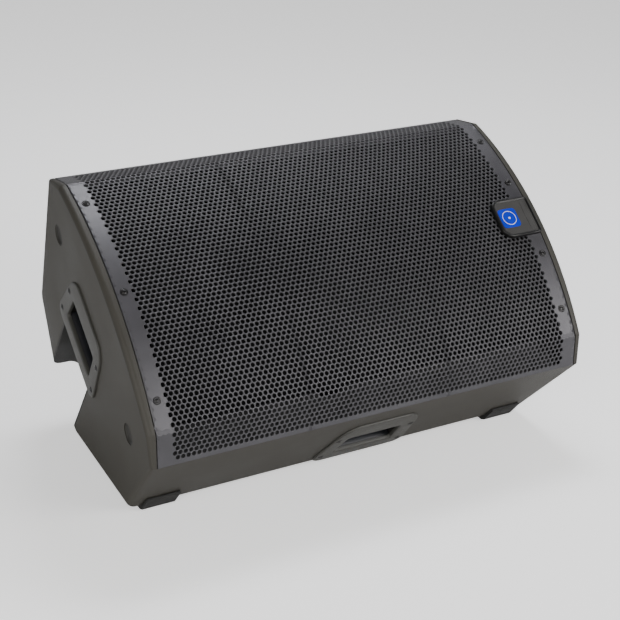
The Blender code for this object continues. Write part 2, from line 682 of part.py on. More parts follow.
def make_woofer(cabinet):
    """Basket, surround, cone, dust cap, voice coil, spider and the magnet with its two plates."""
    frame = driver_frame(WOOFER_X)
    front = BAFFLE_Y[0] - GAP
    top = front - BASKET_TOP
    floor, foot = BASKET_FOOT_Y
    basket = ((0.160, top), (FLANGE_R, top), (FLANGE_R, front), (0.1765, front), (0.100, 0.100),
              (0.087, foot), (0.052, foot), (0.052, floor), (0.084, floor), (0.096, 0.099), (0.172, front),
              (0.160, front - 0.0030))
    obj = piece("woofer_basket", turned("woofer_basket", basket), "basket steel", cabinet, frame)
    half, low, high = BASKET_WINDOW
    for i in range(3):
        turn = Matrix.Rotation(math.pi * (i + 0.5) / 3, 4, "Z")
        window = box("window", (-0.3, -half, low), (0.3, half, high))
        boolean(obj, cutter(window, cabinet, frame @ turn))
    seat = top - GAP
    skin = seat - SURROUND_THICK
    lip = CONE_R + GAP
    (wide, high), (wide_under, high_under) = SURROUND_ROLL, SURROUND_UNDER
    turns = [math.pi * i / 4 for i in range(5)]
    roll = [(SURROUND_R - wide * math.cos(a), skin - high * math.sin(a)) for a in turns]
    under = [(SURROUND_R - wide_under * math.cos(a), skin + GAP - high_under * math.sin(a)) for a in turns]
    surround = [(lip, skin)] + roll + [(SURROUND_OUTER, skin), (SURROUND_OUTER, seat)]
    surround += [(SURROUND_R + wide_under, seat)] + under[::-1] + [(lip, seat)]
    piece("woofer_surround", turned("woofer_surround", surround), "rubber", cabinet, frame)
    cone = ((CONE_R, CONE_Y), (CONE_R, CONE_Y + 0.0014), (NECK_R + 0.0004, NECK_Y + 0.0010),
            (NECK_R - 0.0010, NECK_Y))
    piece("woofer_cone", turned("woofer_cone", cone), "cone paper", cabinet, frame)
    rim = cone_y(CAP_R) - GAP - 0.0006
    turns = [math.pi / 2 * i / 4 for i in range(5)]
    dome = [(CAP_R * math.cos(a), rim - 0.0008 - CAP_RISE * math.sin(a)) for a in turns]
    under = [((CAP_R - 0.001) * math.cos(a), rim - (CAP_RISE - 0.001) * math.sin(a)) for a in turns]
    piece("woofer_dust_cap", turned("woofer_dust_cap", dome + under[::-1]), "cone paper", cabinet, frame)
    coil = ring(COIL_R - 0.0008, COIL_R, NECK_Y + 0.0014, COIL_END)
    piece("woofer_voice_coil", turned("woofer_voice_coil", coil), "copper", cabinet, frame)
    spider = ring(COIL_R + FIT, SPIDER_R, *SPIDER_Y)
    piece("woofer_spider", turned("woofer_spider", spider), "spider cloth", cabinet, frame)
    plate = ring(COIL_R + 0.0023, 0.080, PLATE_Y, MAGNET_Y[0] - GAP)
    piece("woofer_front_plate", turned("woofer_front_plate", plate), "plated steel", cabinet, frame)
    magnet = ring(0.046, MAGNET_R, *MAGNET_Y)
    piece("woofer_magnet", turned("woofer_magnet", magnet), "ferrite", cabinet, frame)
    pole = COIL_R - 0.0016
    seat = MAGNET_Y[1] + GAP
    yoke = ((YOKE_BORE, PLATE_Y), (pole, PLATE_Y), (pole, seat), (MAGNET_R - 0.003, seat),
            (MAGNET_R - 0.006, YOKE_Y), (YOKE_BORE, YOKE_Y))
    piece("woofer_back_plate", turned("woofer_back_plate", yoke), "plated steel", cabinet, frame)


def make_rigging(cabinet, shell):
    """Two blanking plugs in the top end, with the threaded insert behind each."""
    for i, side in enumerate((1, -1)):
        frame = end_frame(-1, RIG_Y, side * RIG_Z)
        r, h = RIG_PLUG_R, -RIG_PLUG_DEEP
        boolean(shell, cutter(disc("plug_room", r + GAP, h - GAP, 0.02), cabinet, frame))
        boolean(shell, cutter(disc("insert_room", INSERT_R + GAP, -FAR, 0.0), cabinet, frame))
        plug = ((0, h), (r, h), (r, -0.0010), (r - 0.0010, -0.0004), (r - 0.003, -0.0004),
                (r - 0.004, -0.0014), (0, -0.0014))
        piece(f"rigging_plug_{i + 1}", turned("rigging_plug", plug, 20), "cabinet plastic", cabinet, frame)
        top = h - GAP - 0.0002
        insert = ring(M10_R, INSERT_R, top - INSERT_LENGTH, top)
        piece(f"rigging_insert_{i + 1}", turned("rigging_insert", insert, 12), "brass", cabinet, frame)


def make_base(cabinet, shell):
    """The pole socket and the four feet of the base end."""
    frame = end_frame(1, *POLE)
    outer = POLE_R + POLE_WALL
    under = -FLANGE_THICK
    boolean(shell, cutter(disc("pole_room", outer + FIT, -FAR, FAR), cabinet, frame))
    boolean(shell, cutter(disc("flange_room", POLE_FLANGE_R + FIT, under - GAP, FAR, 32), cabinet, frame))
    floor = -POLE_DEEP - POLE_WALL
    socket = ((POLE_R, 0), (POLE_FLANGE_R, 0), (POLE_FLANGE_R, under), (outer, under), (outer, floor),
              (0, floor), (0, -POLE_DEEP), (POLE_R, -POLE_DEEP))
    piece("pole_socket", turned("pole_socket", socket, 32), "black plastic", cabinet, frame)
    foot = ((0, under), (BASE_FOOT_R, under), (BASE_FOOT_R, BASE_FOOT_THICK - 0.001),
            (BASE_FOOT_R - 0.001, BASE_FOOT_THICK), (0, BASE_FOOT_THICK))
    for i, place in enumerate(BASE_FEET):
        frame = end_frame(1, *place)
        boolean(shell, cutter(disc("foot_room", BASE_FOOT_R + GAP, under - GAP, 0.02), cabinet, frame))
        piece(f"base_foot_{i + 1}", turned("base_foot", foot, 14), "rubber", cabinet, frame)


def make_feet(cabinet):
    """Rubber feet: two wrap the floor edge, and two lie under the rear edge."""
    run = FLOOR_RUN.length
    side_run = floor_side_frame(0, FLOOR_EDGE[0])
    form = grown_form(cabinet)
    for i, side in enumerate((-1, 1)):
        frame = floor_frame(side * FOOT_X)
        back = (frame.inverted() @ side_run).to_3x3()
        up = back @ Vector((0, -1, 0))
        out = back @ Vector((0, 0, 1))
        edge = out * 0.004
        top = up * FOOT_SIDE + out * 0.001
        rim = top + out * 0.003
        outline = [(FOOT_UNDER, FOOT_THICK - 0.0012), (FOOT_UNDER - 0.002, FOOT_THICK), (0.004, FOOT_THICK),
                   (edge.y, FOOT_THICK - 0.003), (rim.y, rim.z), (top.y, top.z), (0.016, -0.018),
                   (FOOT_UNDER, -0.004)]
        foot = piece(f"wedge_foot_{i + 1}", foot_mesh(outline), "rubber", cabinet, frame)
        boolean(foot, form)
    for i, side in enumerate((-1, 1)):
        frame = floor_frame(side * FOOT_X)
        start, chamfer = run - REAR_FOOT_SET, FOOT_THICK - 0.001
        end = start + REAR_FOOT_WIDE
        outline = [(start, GAP), (start, chamfer), (start + 0.002, FOOT_THICK), (end - 0.002, FOOT_THICK),
                   (end, chamfer), (end, GAP)]
        piece(f"wedge_foot_{i + 3}", foot_mesh(outline), "rubber", cabinet, frame)


def foot_mesh(outline):
    """A foot's outline in Y and Z, as long as the foot is along the cabinet, with its ends drawn in."""
    half = FOOT_LONG / 2
    return prism("wedge_foot", outline, -half, half)


def grown_form(cabinet):
    """The cabinet's outer form with the gap added, which a foot is cut to fit."""
    section = inset_points(CABINET_SECTION, [-GAP] * len(CABINET_SECTION))
    return cutter(prism("grown_form", section, -0.32, 0.32), cabinet)


def make_tray(cabinet, shell):
    """The amplifier tray in the rear face with its heatsink, board, supply, knobs, buttons and sockets."""
    frame = rear_frame()
    long, wide = TRAY
    opening = box("tray_room", (-long - FIT, -wide - FIT, -0.03), (long + FIT, wide + FIT, 0.03))
    boolean(shell, cutter(opening, cabinet, frame))
    rim = (long + TRAY_FLANGE, wide + TRAY_FLANGE)
    tray = piece("amp_tray", box("amp_tray", (-long, -wide, -TRAY_DEEP - TRAY_WALL), (long, wide, 0.001)),
                 "panel aluminium", cabinet, frame)
    flange = box("tray_flange", (-rim[0], -rim[1], GAP), (rim[0], rim[1], TRAY_WALL + GAP))
    boolean(tray, cutter(flange, cabinet, frame), "UNION")
    long, wide = long - TRAY_WALL, wide - TRAY_WALL
    room = box("tray_inside", (-long, -wide, -TRAY_DEEP), (long, wide, 0.03))
    boolean(tray, cutter(room, cabinet, frame))
    make_heatsink(cabinet, frame)
    make_controls(cabinet, frame, tray)
    make_sockets(cabinet, frame, tray)
    make_rocker(cabinet, frame, tray)
    board = box("amp_board", (BOARD_X[0], -BOARD_HALF, BOARD_Z[0]), (BOARD_X[1], BOARD_HALF, BOARD_Z[1]))
    piece("amp_board", board, "circuit board", cabinet, frame)
    supply = box("power_supply", (SUPPLY_X[0], -SUPPLY_HALF, SUPPLY_Z[0]),
                 (SUPPLY_X[1], SUPPLY_HALF, SUPPLY_Z[1]))
    piece("power_supply", supply, "plated steel", cabinet, frame)


def make_controls(cabinet, frame, tray):
    """Three level knobs on shafts and two push buttons, in the floor of the tray."""
    for i, x in enumerate(KNOB_X):
        place = frame @ Matrix.Translation((x, KNOB_Y, -TRAY_DEEP))
        boolean(tray, cutter(disc("shaft_hole", SHAFT_R + GAP, -0.01, 0.005, 12), cabinet, place))
        r, h = KNOB_R, KNOB_HEIGHT
        profile = ((0, -0.008), (SHAFT_R, -0.008), (SHAFT_R, FIT), (r, FIT), (r * 0.85, h - 0.001),
                   (r * 0.75, h), (0, h))
        knob = turned("level_knob", profile, 16, closed=False)
        piece(f"level_knob_{i + 1}", knob, "black plastic", cabinet, place)
    for i, x in enumerate(BUTTON_X):
        place = frame @ Matrix.Translation((x, BUTTON_Y, -TRAY_DEEP))
        b, reach = BUTTON, BUTTON + GAP
        hole = box("button_hole", (-reach, -reach, -0.01), (reach, reach, 0.01))
        boolean(tray, cutter(hole, cabinet, place))
        button = box("push_button", (-b, -b, -0.006), (b, b, BUTTON_HEIGHT))
        piece(f"push_button_{i + 1}", button, "black plastic", cabinet, place)


def make_sockets(cabinet, frame, tray):
    """Two combination inputs and a link output with round bores, and the mains inlet."""
    wide, tall = SOCKET_FACE
    for name, x in zip(("input_socket_1", "input_socket_2", "link_socket"), SOCKET_X):
        place = frame @ Matrix.Translation((x, 0, -TRAY_DEEP))
        boolean(tray, cutter(disc("socket_hole", SOCKET_R + GAP, -0.01, 0.01), cabinet, place))
        barrel = disc("socket_barrel", SOCKET_R, -SOCKET_DEEP, 0.0012)
        obj = piece(name, barrel, "black plastic", cabinet, place)
        face = box("socket_face", (-wide, -tall, GAP), (wide, tall, FACE_THICK))
        boolean(obj, cutter(face, cabinet, place), "UNION")
        bore = disc("socket_bore", SOCKET_BORE, -SOCKET_BORE_DEEP, 0.01)
        boolean(obj, cutter(bore, cabinet, place))
    place = frame @ Matrix.Translation((INLET_X, 0, -TRAY_DEEP))
    wide, tall = INLET
    hole = box("inlet_hole", (-wide - GAP, -tall - GAP, -0.01), (wide + GAP, tall + GAP, 0.01))
    boolean(tray, cutter(hole, cabinet, place))
    body = box("mains_inlet", (-wide, -tall, -SOCKET_DEEP), (wide, tall, 0.0012))
    inlet = piece("mains_inlet", body, "black plastic", cabinet, place)
    wide, tall = INLET_FACE
    face = box("inlet_face", (-wide, -tall, GAP), (wide, tall, FACE_THICK))
    boolean(inlet, cutter(face, cabinet, place), "UNION")
    wide, tall = INLET_ROOM
    room = box("inlet_room", (-wide, -tall, -INLET_ROOM_DEEP), (wide, tall, 0.01))
    boolean(inlet, cutter(room, cabinet, place))


def make_heatsink(cabinet, frame):
    """A base plate with straight fins along its length, screwed into the tray."""
    low, high = FIN_X
    floor = -TRAY_DEEP + GAP
    root = floor + FIN_BASE
    pitch = 2 * FIN_SPREAD / (FIN_COUNT - 1)
    edge = FIN_SPREAD + FIN_HALF
    outline = [(-edge, floor)]
    for i in range(FIN_COUNT):
        middle = i * pitch - FIN_SPREAD
        near, far = middle - FIN_HALF, middle + FIN_HALF
        outline += [(near, root), (near, FIN_TOP), (far, FIN_TOP), (far, root)]
    outline += [(edge, floor)]
    piece("amp_heatsink", prism("amp_heatsink", outline, low, high), "panel aluminium", cabinet, frame)


def make_rocker(cabinet, frame, tray):
    """The mains switch: a rocker with a shallow V face, resting on its off side."""
    place = frame @ Matrix.Translation((ROCKER_X, 0, -TRAY_DEEP - ROCKER_SINK))
    a, b = ROCKER
    hole = box("rocker_hole", (-a - 0.0008, -b - 0.0012, -0.01), (a + 0.0008, b + 0.0012, 0.01))
    boolean(tray, cutter(hole, cabinet, place))
    outline = ((-b + 0.0015, -0.004), (b - 0.0015, -0.004), (b, 0.0065), (0, 0.0045), (-b, 0.0065))
    piece("power_rocker", prism("power_rocker", outline, -a, a), "black plastic", cabinet,
          place @ Matrix.Rotation(-ROCKER_TILT, 4, "X"))


def main():
    clear_scene()
    upright = Matrix.Translation(centred_location()) @ Matrix.Rotation(MONITOR_TURN, 4, "X")
    cabinet = empty("cabinet", None, upright)
    body = cutter(cabinet_body("cabinet_form"), cabinet)
    shell = make_cabinet(cabinet)
    top = end_frame(-1, TOP_HANDLE_START, TOP_HANDLE_ACROSS)
    side = floor_side_frame(SIDE_HANDLE_X, SIDE_HANDLE_START)
    cut_pocket(shell, top, TOP_POCKET_LONG + 0.01)
    cut_pocket(shell, side, SIDE_POCKET_LONG + 0.01)
    make_handle("top_handle", cabinet, body, top, TOP_POCKET_LONG)
    make_handle("side_handle", cabinet, body, side, SIDE_POCKET_LONG)
    make_front(cabinet)
    make_horn(cabinet)
    make_ports(cabinet)
    make_woofer(cabinet)
    make_rigging(cabinet, shell)
    make_base(cabinet, shell)
    make_feet(cabinet)
    make_tray(cabinet, shell)


main()
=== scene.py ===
import json
import math

import bmesh
import bpy
import numpy as np
from mathutils import Matrix, Vector


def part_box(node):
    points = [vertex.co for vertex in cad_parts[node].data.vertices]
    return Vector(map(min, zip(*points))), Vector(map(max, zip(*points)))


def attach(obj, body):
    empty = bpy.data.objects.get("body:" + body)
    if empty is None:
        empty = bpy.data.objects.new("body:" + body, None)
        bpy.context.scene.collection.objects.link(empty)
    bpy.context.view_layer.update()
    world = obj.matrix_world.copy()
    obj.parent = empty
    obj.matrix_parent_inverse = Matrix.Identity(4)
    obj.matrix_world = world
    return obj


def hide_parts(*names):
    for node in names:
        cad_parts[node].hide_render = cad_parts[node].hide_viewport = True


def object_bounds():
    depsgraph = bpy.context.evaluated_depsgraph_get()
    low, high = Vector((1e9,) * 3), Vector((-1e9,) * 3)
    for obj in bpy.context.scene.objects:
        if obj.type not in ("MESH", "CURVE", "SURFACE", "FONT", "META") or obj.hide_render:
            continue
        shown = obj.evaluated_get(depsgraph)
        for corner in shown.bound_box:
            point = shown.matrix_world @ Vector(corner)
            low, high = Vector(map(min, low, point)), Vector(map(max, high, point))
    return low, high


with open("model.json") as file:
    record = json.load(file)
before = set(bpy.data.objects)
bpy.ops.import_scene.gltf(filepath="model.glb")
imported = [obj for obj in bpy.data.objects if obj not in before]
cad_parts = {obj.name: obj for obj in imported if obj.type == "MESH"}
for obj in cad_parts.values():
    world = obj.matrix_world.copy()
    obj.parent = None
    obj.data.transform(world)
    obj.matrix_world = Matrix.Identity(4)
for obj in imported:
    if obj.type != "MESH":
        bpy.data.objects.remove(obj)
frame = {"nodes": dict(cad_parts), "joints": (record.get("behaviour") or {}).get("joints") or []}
CAD_BOX = [list(corner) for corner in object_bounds()]


# ---- Camera, floor and lights -------------------------------------------------------------------
# A product stand: a long lens above the cabinet, looking at its grille and its handle end, on a pale floor.
# A warm softbox stands low at the left and a wider one at the front right, a cool strip hangs above and
# behind, and the pale room round them darkens overhead. Every length in this file is in metres.

CAMERA_PLACE = (-0.953, -1.642, 1.049)
CAMERA_TURN = math.radians(29.12)
CAMERA_DIP = math.radians(23.88)
CAMERA_ROLL = math.radians(1.3)
ROOM_LEVEL, ROOM_OVERHEAD = 0.50, 0.12
FLOOR_REACH = 12.0
FLOOR_GLOW = 0.75

camera_data = bpy.data.cameras.new("camera")
camera_data.lens = 81.9
camera_data.sensor_width = 36.0
camera_data.shift_x = 0.0484
camera_data.shift_y = -0.0161
camera = bpy.data.objects.new("camera", camera_data)
bpy.context.scene.collection.objects.link(camera)
sight = Vector((math.sin(CAMERA_TURN) * math.cos(CAMERA_DIP),
                math.cos(CAMERA_TURN) * math.cos(CAMERA_DIP), -math.sin(CAMERA_DIP)))
level = sight.to_track_quat("-Z", "Y").to_matrix().to_4x4()
camera.matrix_world = Matrix.Translation(CAMERA_PLACE) @ level @ Matrix.Rotation(CAMERA_ROLL, 4, "Z")
bpy.context.scene.camera = camera


def soft_light(name, place, target, size, power, tint):
    """A rectangular area light at a place, turned to shine at a target."""
    data = bpy.data.lights.new(name, "AREA")
    data.shape = "RECTANGLE"
    data.size, data.size_y = size
    data.energy = power
    data.color = tint
    lamp = bpy.data.objects.new(name, data)
    bpy.context.scene.collection.objects.link(lamp)
    lamp.location = place
    lamp.rotation_euler = (Vector(target) - Vector(place)).to_track_quat("-Z", "Y").to_euler()


cabinet_middle = (0.0, 0.0, CAD_BOX[1][2] / 2)
soft_light("key light", (-2.1, -1.5, 0.9), cabinet_middle, (1.4, 1.0), 34.0, (1.0, 0.98, 0.93))
soft_light("low softbox", (1.25, -2.15, 1.35), cabinet_middle, (1.5, 0.9), 50.0, (1.0, 0.98, 0.97))
soft_light("top strip", (0.55, 0.85, 2.2), cabinet_middle, (1.1, 0.6), 34.0, (0.95, 0.96, 1.0))

world = bpy.data.worlds.new("studio")
world.use_nodes = True
backdrop, backdrop_links = world.node_tree.nodes, world.node_tree.links
backdrop["Background"].inputs["Color"].default_value = (1.0, 1.0, 1.0, 1.0)
heading = backdrop.new("ShaderNodeTexCoord")
rise = backdrop.new("ShaderNodeSeparateXYZ")
dimming = backdrop.new("ShaderNodeMapRange")
dimming.inputs["To Min"].default_value = ROOM_LEVEL
dimming.inputs["To Max"].default_value = ROOM_OVERHEAD
backdrop_links.new(heading.outputs["Generated"], rise.inputs[0])
backdrop_links.new(rise.outputs["Z"], dimming.inputs["Value"])
backdrop_links.new(dimming.outputs[0], backdrop["Background"].inputs["Strength"])
bpy.context.scene.world = world

# The floor glows for the camera only, so it stays pale without lighting the cabinet from below.
floor_mesh = bpy.data.meshes.new("floor")
floor_corners = [(x * FLOOR_REACH, y * FLOOR_REACH, 0) for x, y in ((-1, -1), (1, -1), (1, 1), (-1, 1))]
floor_mesh.from_pydata(floor_corners, [], [(0, 1, 2, 3)])
floor = bpy.data.objects.new("floor", floor_mesh)
bpy.context.scene.collection.objects.link(floor)
floor_paint = bpy.data.materials.new("pale floor")
floor_paint.use_nodes = True
floor_mesh.materials.append(floor_paint)
floor_nodes, floor_links = floor_paint.node_tree.nodes, floor_paint.node_tree.links
floor_shader = floor_nodes["Principled BSDF"]
floor_shader.inputs["Base Color"].default_value = (0.86, 0.86, 0.86, 1.0)
floor_shader.inputs["Roughness"].default_value = 0.6
floor_shader.inputs["Emission Color"].default_value = (1.0, 1.0, 1.0, 1.0)
sight_ray = floor_nodes.new("ShaderNodeLightPath")
glow = floor_nodes.new("ShaderNodeMath")
glow.operation = "MULTIPLY"
glow.inputs[1].default_value = FLOOR_GLOW
floor_links.new(sight_ray.outputs["Is Camera Ray"], glow.inputs[0])
floor_links.new(glow.outputs[0], floor_shader.inputs["Emission Strength"])


# ---- Cabinet moulding ---------------------------------------------------------------------------
# One hollow injection moulding of talc-filled polypropylene, 6 mm thick, with a fine eroded texture
# and softly rounded edges. Everything else is screwed into it.

QUARTER = math.pi / 2
MAGNET_DEPTH = 0.145
joints = {joint["name"]: joint for joint in frame["joints"]}
inward = -np.array(joints["cone_travel"]["axis"])
along = np.array([1.0, 0.0, 0.0])
across = np.cross(along, inward)
magnet_low, magnet_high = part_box("woofer_magnet")
grille_middle = np.array(magnet_low + magnet_high) / 2 - MAGNET_DEPTH * inward
grille_middle[0] = 0.0
cabinet_axes = np.stack((along, inward, across))


def placed(points, origin, axes):
    """Points given along three axes from an origin, in the object's frame: origin + x X + y Y + z Z."""
    return np.asarray(points, float) @ axes + origin


def node_points(node):
    """The points of a CAD node, one row each."""
    mesh = frame["nodes"][node].data
    points = np.empty(len(mesh.vertices) * 3, np.float32)
    mesh.vertices.foreach_get("co", points)
    return points.reshape(-1, 3).astype(float)


def grain_group():
    """Node group for one surface: a colour that drifts between two tones over cloudy noise with specks, a
    roughness that follows the clouds, and the normal of a grain of fine noise and small round cells."""
    group = bpy.data.node_groups.new("moulded surface", "ShaderNodeTree")
    sizes = ("Cloud Size", "Grain Size", "Grain Depth", "Rough Low", "Rough High")
    sockets = [(name, "INPUT", "Color") for name in ("Dark", "Light")]
    sockets += [(name, "INPUT", "Float") for name in sizes]
    sockets += [("Color", "OUTPUT", "Color"), ("Roughness", "OUTPUT", "Float")]
    sockets += [("Normal", "OUTPUT", "Vector")]
    for name, direction, kind in sockets:
        group.interface.new_socket(name=name, in_out=direction, socket_type="NodeSocket" + kind)
    nodes, links = group.nodes, group.links
    given, out = nodes.new("NodeGroupInput"), nodes.new("NodeGroupOutput")
    where = nodes.new("ShaderNodeTexCoord").outputs["Object"]

    def noise(scale_from, factor, detail):
        """Noise in the object's own space at a factor times one of the group's sizes."""
        scale = nodes.new("ShaderNodeMath")
        scale.operation = "MULTIPLY"
        scale.inputs[1].default_value = factor
        links.new(given.outputs[scale_from], scale.inputs[0])
        made = nodes.new("ShaderNodeTexNoise")
        made.inputs["Detail"].default_value = detail
        links.new(where, made.inputs["Vector"])
        links.new(scale.outputs[0], made.inputs["Scale"])
        return made.outputs["Fac"]

    def spread(value, low, high):
        """A value stretched so that low to high covers the whole output range, which is 0 to 1 at first."""
        made = nodes.new("ShaderNodeMapRange")
        made.inputs["From Min"].default_value = low
        made.inputs["From Max"].default_value = high
        links.new(value, made.inputs["Value"])
        return made

    clouds = noise("Cloud Size", 1.0, 4.0)
    specks = noise("Grain Size", 0.5, 3.0)
    tone = nodes.new("ShaderNodeMath")
    tone.operation = "MULTIPLY_ADD"
    tone.inputs[1].default_value = 0.35
    links.new(specks, tone.inputs[0])
    links.new(clouds, tone.inputs[2])
    toned = spread(tone.outputs[0], 0.42, 0.92)
    colour = nodes.new("ShaderNodeMix")
    colour.data_type = "RGBA"
    links.new(toned.outputs[0], colour.inputs["Factor"])
    links.new(given.outputs["Dark"], colour.inputs["A"])
    links.new(given.outputs["Light"], colour.inputs["B"])
    links.new(colour.outputs["Result"], out.inputs["Color"])
    rough = spread(clouds, 0.3, 0.7)
    links.new(given.outputs["Rough Low"], rough.inputs["To Min"])
    links.new(given.outputs["Rough High"], rough.inputs["To Max"])
    links.new(rough.outputs[0], out.inputs["Roughness"])
    fine = noise("Grain Size", 1.0, 2.0)
    cells = nodes.new("ShaderNodeTexVoronoi")
    cells.feature = "SMOOTH_F1"
    links.new(where, cells.inputs["Vector"])
    links.new(given.outputs["Grain Size"], cells.inputs["Scale"])
    height = nodes.new("ShaderNodeMath")
    height.operation = "ADD"
    links.new(fine, height.inputs[0])
    links.new(cells.outputs["Distance"], height.inputs[1])
    bump = nodes.new("ShaderNodeBump")
    links.new(given.outputs["Grain Depth"], bump.inputs["Distance"])
    links.new(height.outputs[0], bump.inputs["Height"])
    links.new(bump.outputs["Normal"], out.inputs["Normal"])
    return group


surface_group = grain_group()


def finish(name, dark, light, rough, grain, metal=0.0, clouds=9.0, specular=0.5):
    """A material from the surface group: two tones, a roughness range, and (grain size, grain depth)."""
    made = bpy.data.materials.new(name)
    made.use_nodes = True
    nodes, links = made.node_tree.nodes, made.node_tree.links
    shader = nodes["Principled BSDF"]
    shader.inputs["Metallic"].default_value = metal
    shader.inputs["Specular IOR Level"].default_value = specular
    group = nodes.new("ShaderNodeGroup")
    group.node_tree = surface_group
    values = {"Dark": (*dark, 1.0), "Light": (*light, 1.0), "Cloud Size": clouds, "Grain Size": grain[0],
              "Grain Depth": grain[1], "Rough Low": rough[0], "Rough High": rough[1]}
    for socket, value in values.items():
        group.inputs[socket].default_value = value
    links.new(group.outputs["Color"], shader.inputs["Base Color"])
    links.new(group.outputs["Roughness"], shader.inputs["Roughness"])
    links.new(group.outputs["Normal"], shader.inputs["Normal"])
    return made


def shown(name, mesh, material, stands_for=(), body="cabinet", angle=32.0):
    """Makes the piece for a mesh: smooth except at its edges, riding on a body and standing for CAD nodes."""
    obj = bpy.data.objects.new(name, mesh)
    bpy.context.scene.collection.objects.link(obj)
    mesh.shade_smooth()
    mesh.set_sharp_from_angle(angle=math.radians(angle))
    mesh.materials.clear()
    mesh.materials.append(material)
    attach(obj, body)
    if stands_for:
        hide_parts(*stands_for)
    return obj


def even_shading(obj):
    """Turns each corner's normal towards its broadest faces, so that flats stay flat beside rounded edges."""
    made = obj.modifiers.new("even shading", "WEIGHTED_NORMAL")
    made.mode = "FACE_AREA"
    made.keep_sharp = True


cabinet_plastic = finish("textured polypropylene", (0.0245, 0.0225, 0.0170), (0.0345, 0.0315, 0.0240),
                         (0.46, 0.60), (1300.0, 0.00022), clouds=6.0)

END_HALF = 0.3456
END_TAPER = 0.0661
WALL = 0.006
SECTION_CORNERS = (((0.1971, -0.2143), 0.012), ((0.3411, -0.0429), 0.026),
                   ((0.3339, 0.0721), 0.024), ((0.2724, 0.1665), 0.032))
FRONT_EDGE = 0.0075
FLANGE_EDGE = 0.005
END_EDGE = 0.016
RECESS_DEPTH = 0.0345
RECESS_GAP = 0.0008
HOLLOW_FROM = 0.048
MOUTH_LAP = 0.002
POCKET_HALF = 0.055
POCKET_START = 0.034
POCKET_DEEP = 0.046
POCKET_PAST = 0.06
POCKET_RUN = 0.40
POCKET_ROUND = 0.022
CUP_WALL = 0.003
CLEARANCE = 0.0005
PLATE_TOP = 0.0033
PLUG_ROOM = (0.0148, 0.0043)
FOOT_ROOM = (0.0143, 0.0033)
SOCKET_ROOM = (0.0455, 0.0033)
SOCKET_BORE = (0.0225, 0.05)
TRAY_TOP = 0.0023
TRAY_LONG, TRAY_WIDE = 0.2125, 0.0425

grille_own = (node_points("grille") - grille_middle) @ cabinet_axes.T
grille_reach = np.abs(grille_own[:, 0]).max()
fold_half = np.abs(grille_own[np.abs(grille_own[:, 1]) < 0.0002, 2]).max()
flange_half = np.abs(grille_own[:, 2]).max()
flange_depth = grille_own[:, 1].max()
arc_rise = -grille_own[:, 1].min()
arc_radius = (fold_half ** 2 + arc_rise ** 2) / (2 * arc_rise)


def outward_normal(node, towards):
    """The normal of a CAD node's broadest flat that faces a direction."""
    mesh = frame["nodes"][node].data
    normals = np.empty(len(mesh.polygons) * 3, np.float32)
    areas = np.empty(len(mesh.polygons), np.float32)
    mesh.polygons.foreach_get("normal", normals)
    mesh.polygons.foreach_get("area", areas)
    normals = normals.reshape(-1, 3).astype(float)
    areas = areas * (normals @ np.asarray(towards, float) > 0.8)
    best = normals[np.argmax(areas)]
    close = normals @ best > 0.9999
    mean = (normals[close] * areas[close, None]).sum(0)
    return mean / np.linalg.norm(mean)


def face_axes(out):
    """Axes of a face of the cabinet: Z out of the face, Y to the rear along it, X across both."""
    back = inward - (inward @ out) * out
    back /= np.linalg.norm(back)
    return np.stack((np.cross(back, out), back, out))


def skin(name, rings, looped=False):
    """A mesh through rings of points, each joined to the next. Flat faces close the first and the last,
    or the last joins the first. Points that coincide become one, and faces are turned outwards."""
    rows, count = rings.shape[:2]
    index = np.arange(rows * count).reshape(rows, count)
    near, far = (index, np.roll(index, -1, 0)) if looped else (index[:-1], index[1:])
    faces = np.stack((near, np.roll(near, -1, 1), np.roll(far, -1, 1), far), -1).reshape(-1, 4).tolist()
    if not looped:
        faces += [index[0].tolist(), index[-1].tolist()]
    mesh = bpy.data.meshes.new(name)
    mesh.from_pydata(rings.reshape(-1, 3).tolist(), [], faces)
    bm = bmesh.new()
    bm.from_mesh(mesh)
    bmesh.ops.remove_doubles(bm, verts=bm.verts, dist=1e-6)
    bmesh.ops.dissolve_degenerate(bm, edges=bm.edges, dist=1e-7)
    bmesh.ops.recalc_face_normals(bm, faces=bm.faces)
    bm.to_mesh(mesh)
    bm.free()
    return mesh


def corner_arc(before, corner, after, radius, steps):
    """The arc that rounds a corner: its centre is on the halving line, radius / sin(half) from the corner."""
    a, b, c = (np.array(p, float) for p in (before, corner, after))
    to_a, to_c = (a - b) / np.linalg.norm(a - b), (c - b) / np.linalg.norm(c - b)
    half = math.acos(to_a @ to_c) / 2
    middle = (to_a + to_c) / np.linalg.norm(to_a + to_c)
    centre = b + middle * radius / math.sin(half)
    t = np.linspace(-1, 1, steps + 1)[:, None] * (QUARTER - half)
    level = np.array([-middle[1], middle[0]])
    level = level * np.sign(level @ (to_c - to_a))
    return centre + radius * (np.sin(t) * level - np.cos(t) * middle)


def cabinet_section():
    """The outline in depth and width with the edge radius of the cabinet's ends at each point: the arc
    d = R - rise - sqrt(R^2 - w^2) at the front, then the flange corners and the four rounded rear corners."""
    w = np.linspace(fold_half, -fold_half, 97)
    front = np.stack((arc_radius - arc_rise - np.sqrt(arc_radius ** 2 - w * w), w), -1)
    chain = [(flange_depth, -flange_half)] + [corner for corner, _ in SECTION_CORNERS]
    chain += [(flange_depth, flange_half)]
    parts, radii = [front, [chain[0]]], [np.full(97, FRONT_EDGE), [FLANGE_EDGE]]
    for i, (corner, radius) in enumerate(SECTION_CORNERS):
        parts.append(corner_arc(chain[i], corner, chain[i + 2], radius, 14))
        radii.append(np.full(15, min(END_EDGE, radius)))
    return np.concatenate(parts + [[chain[-1]]]), np.concatenate(radii + [[FLANGE_EDGE]])


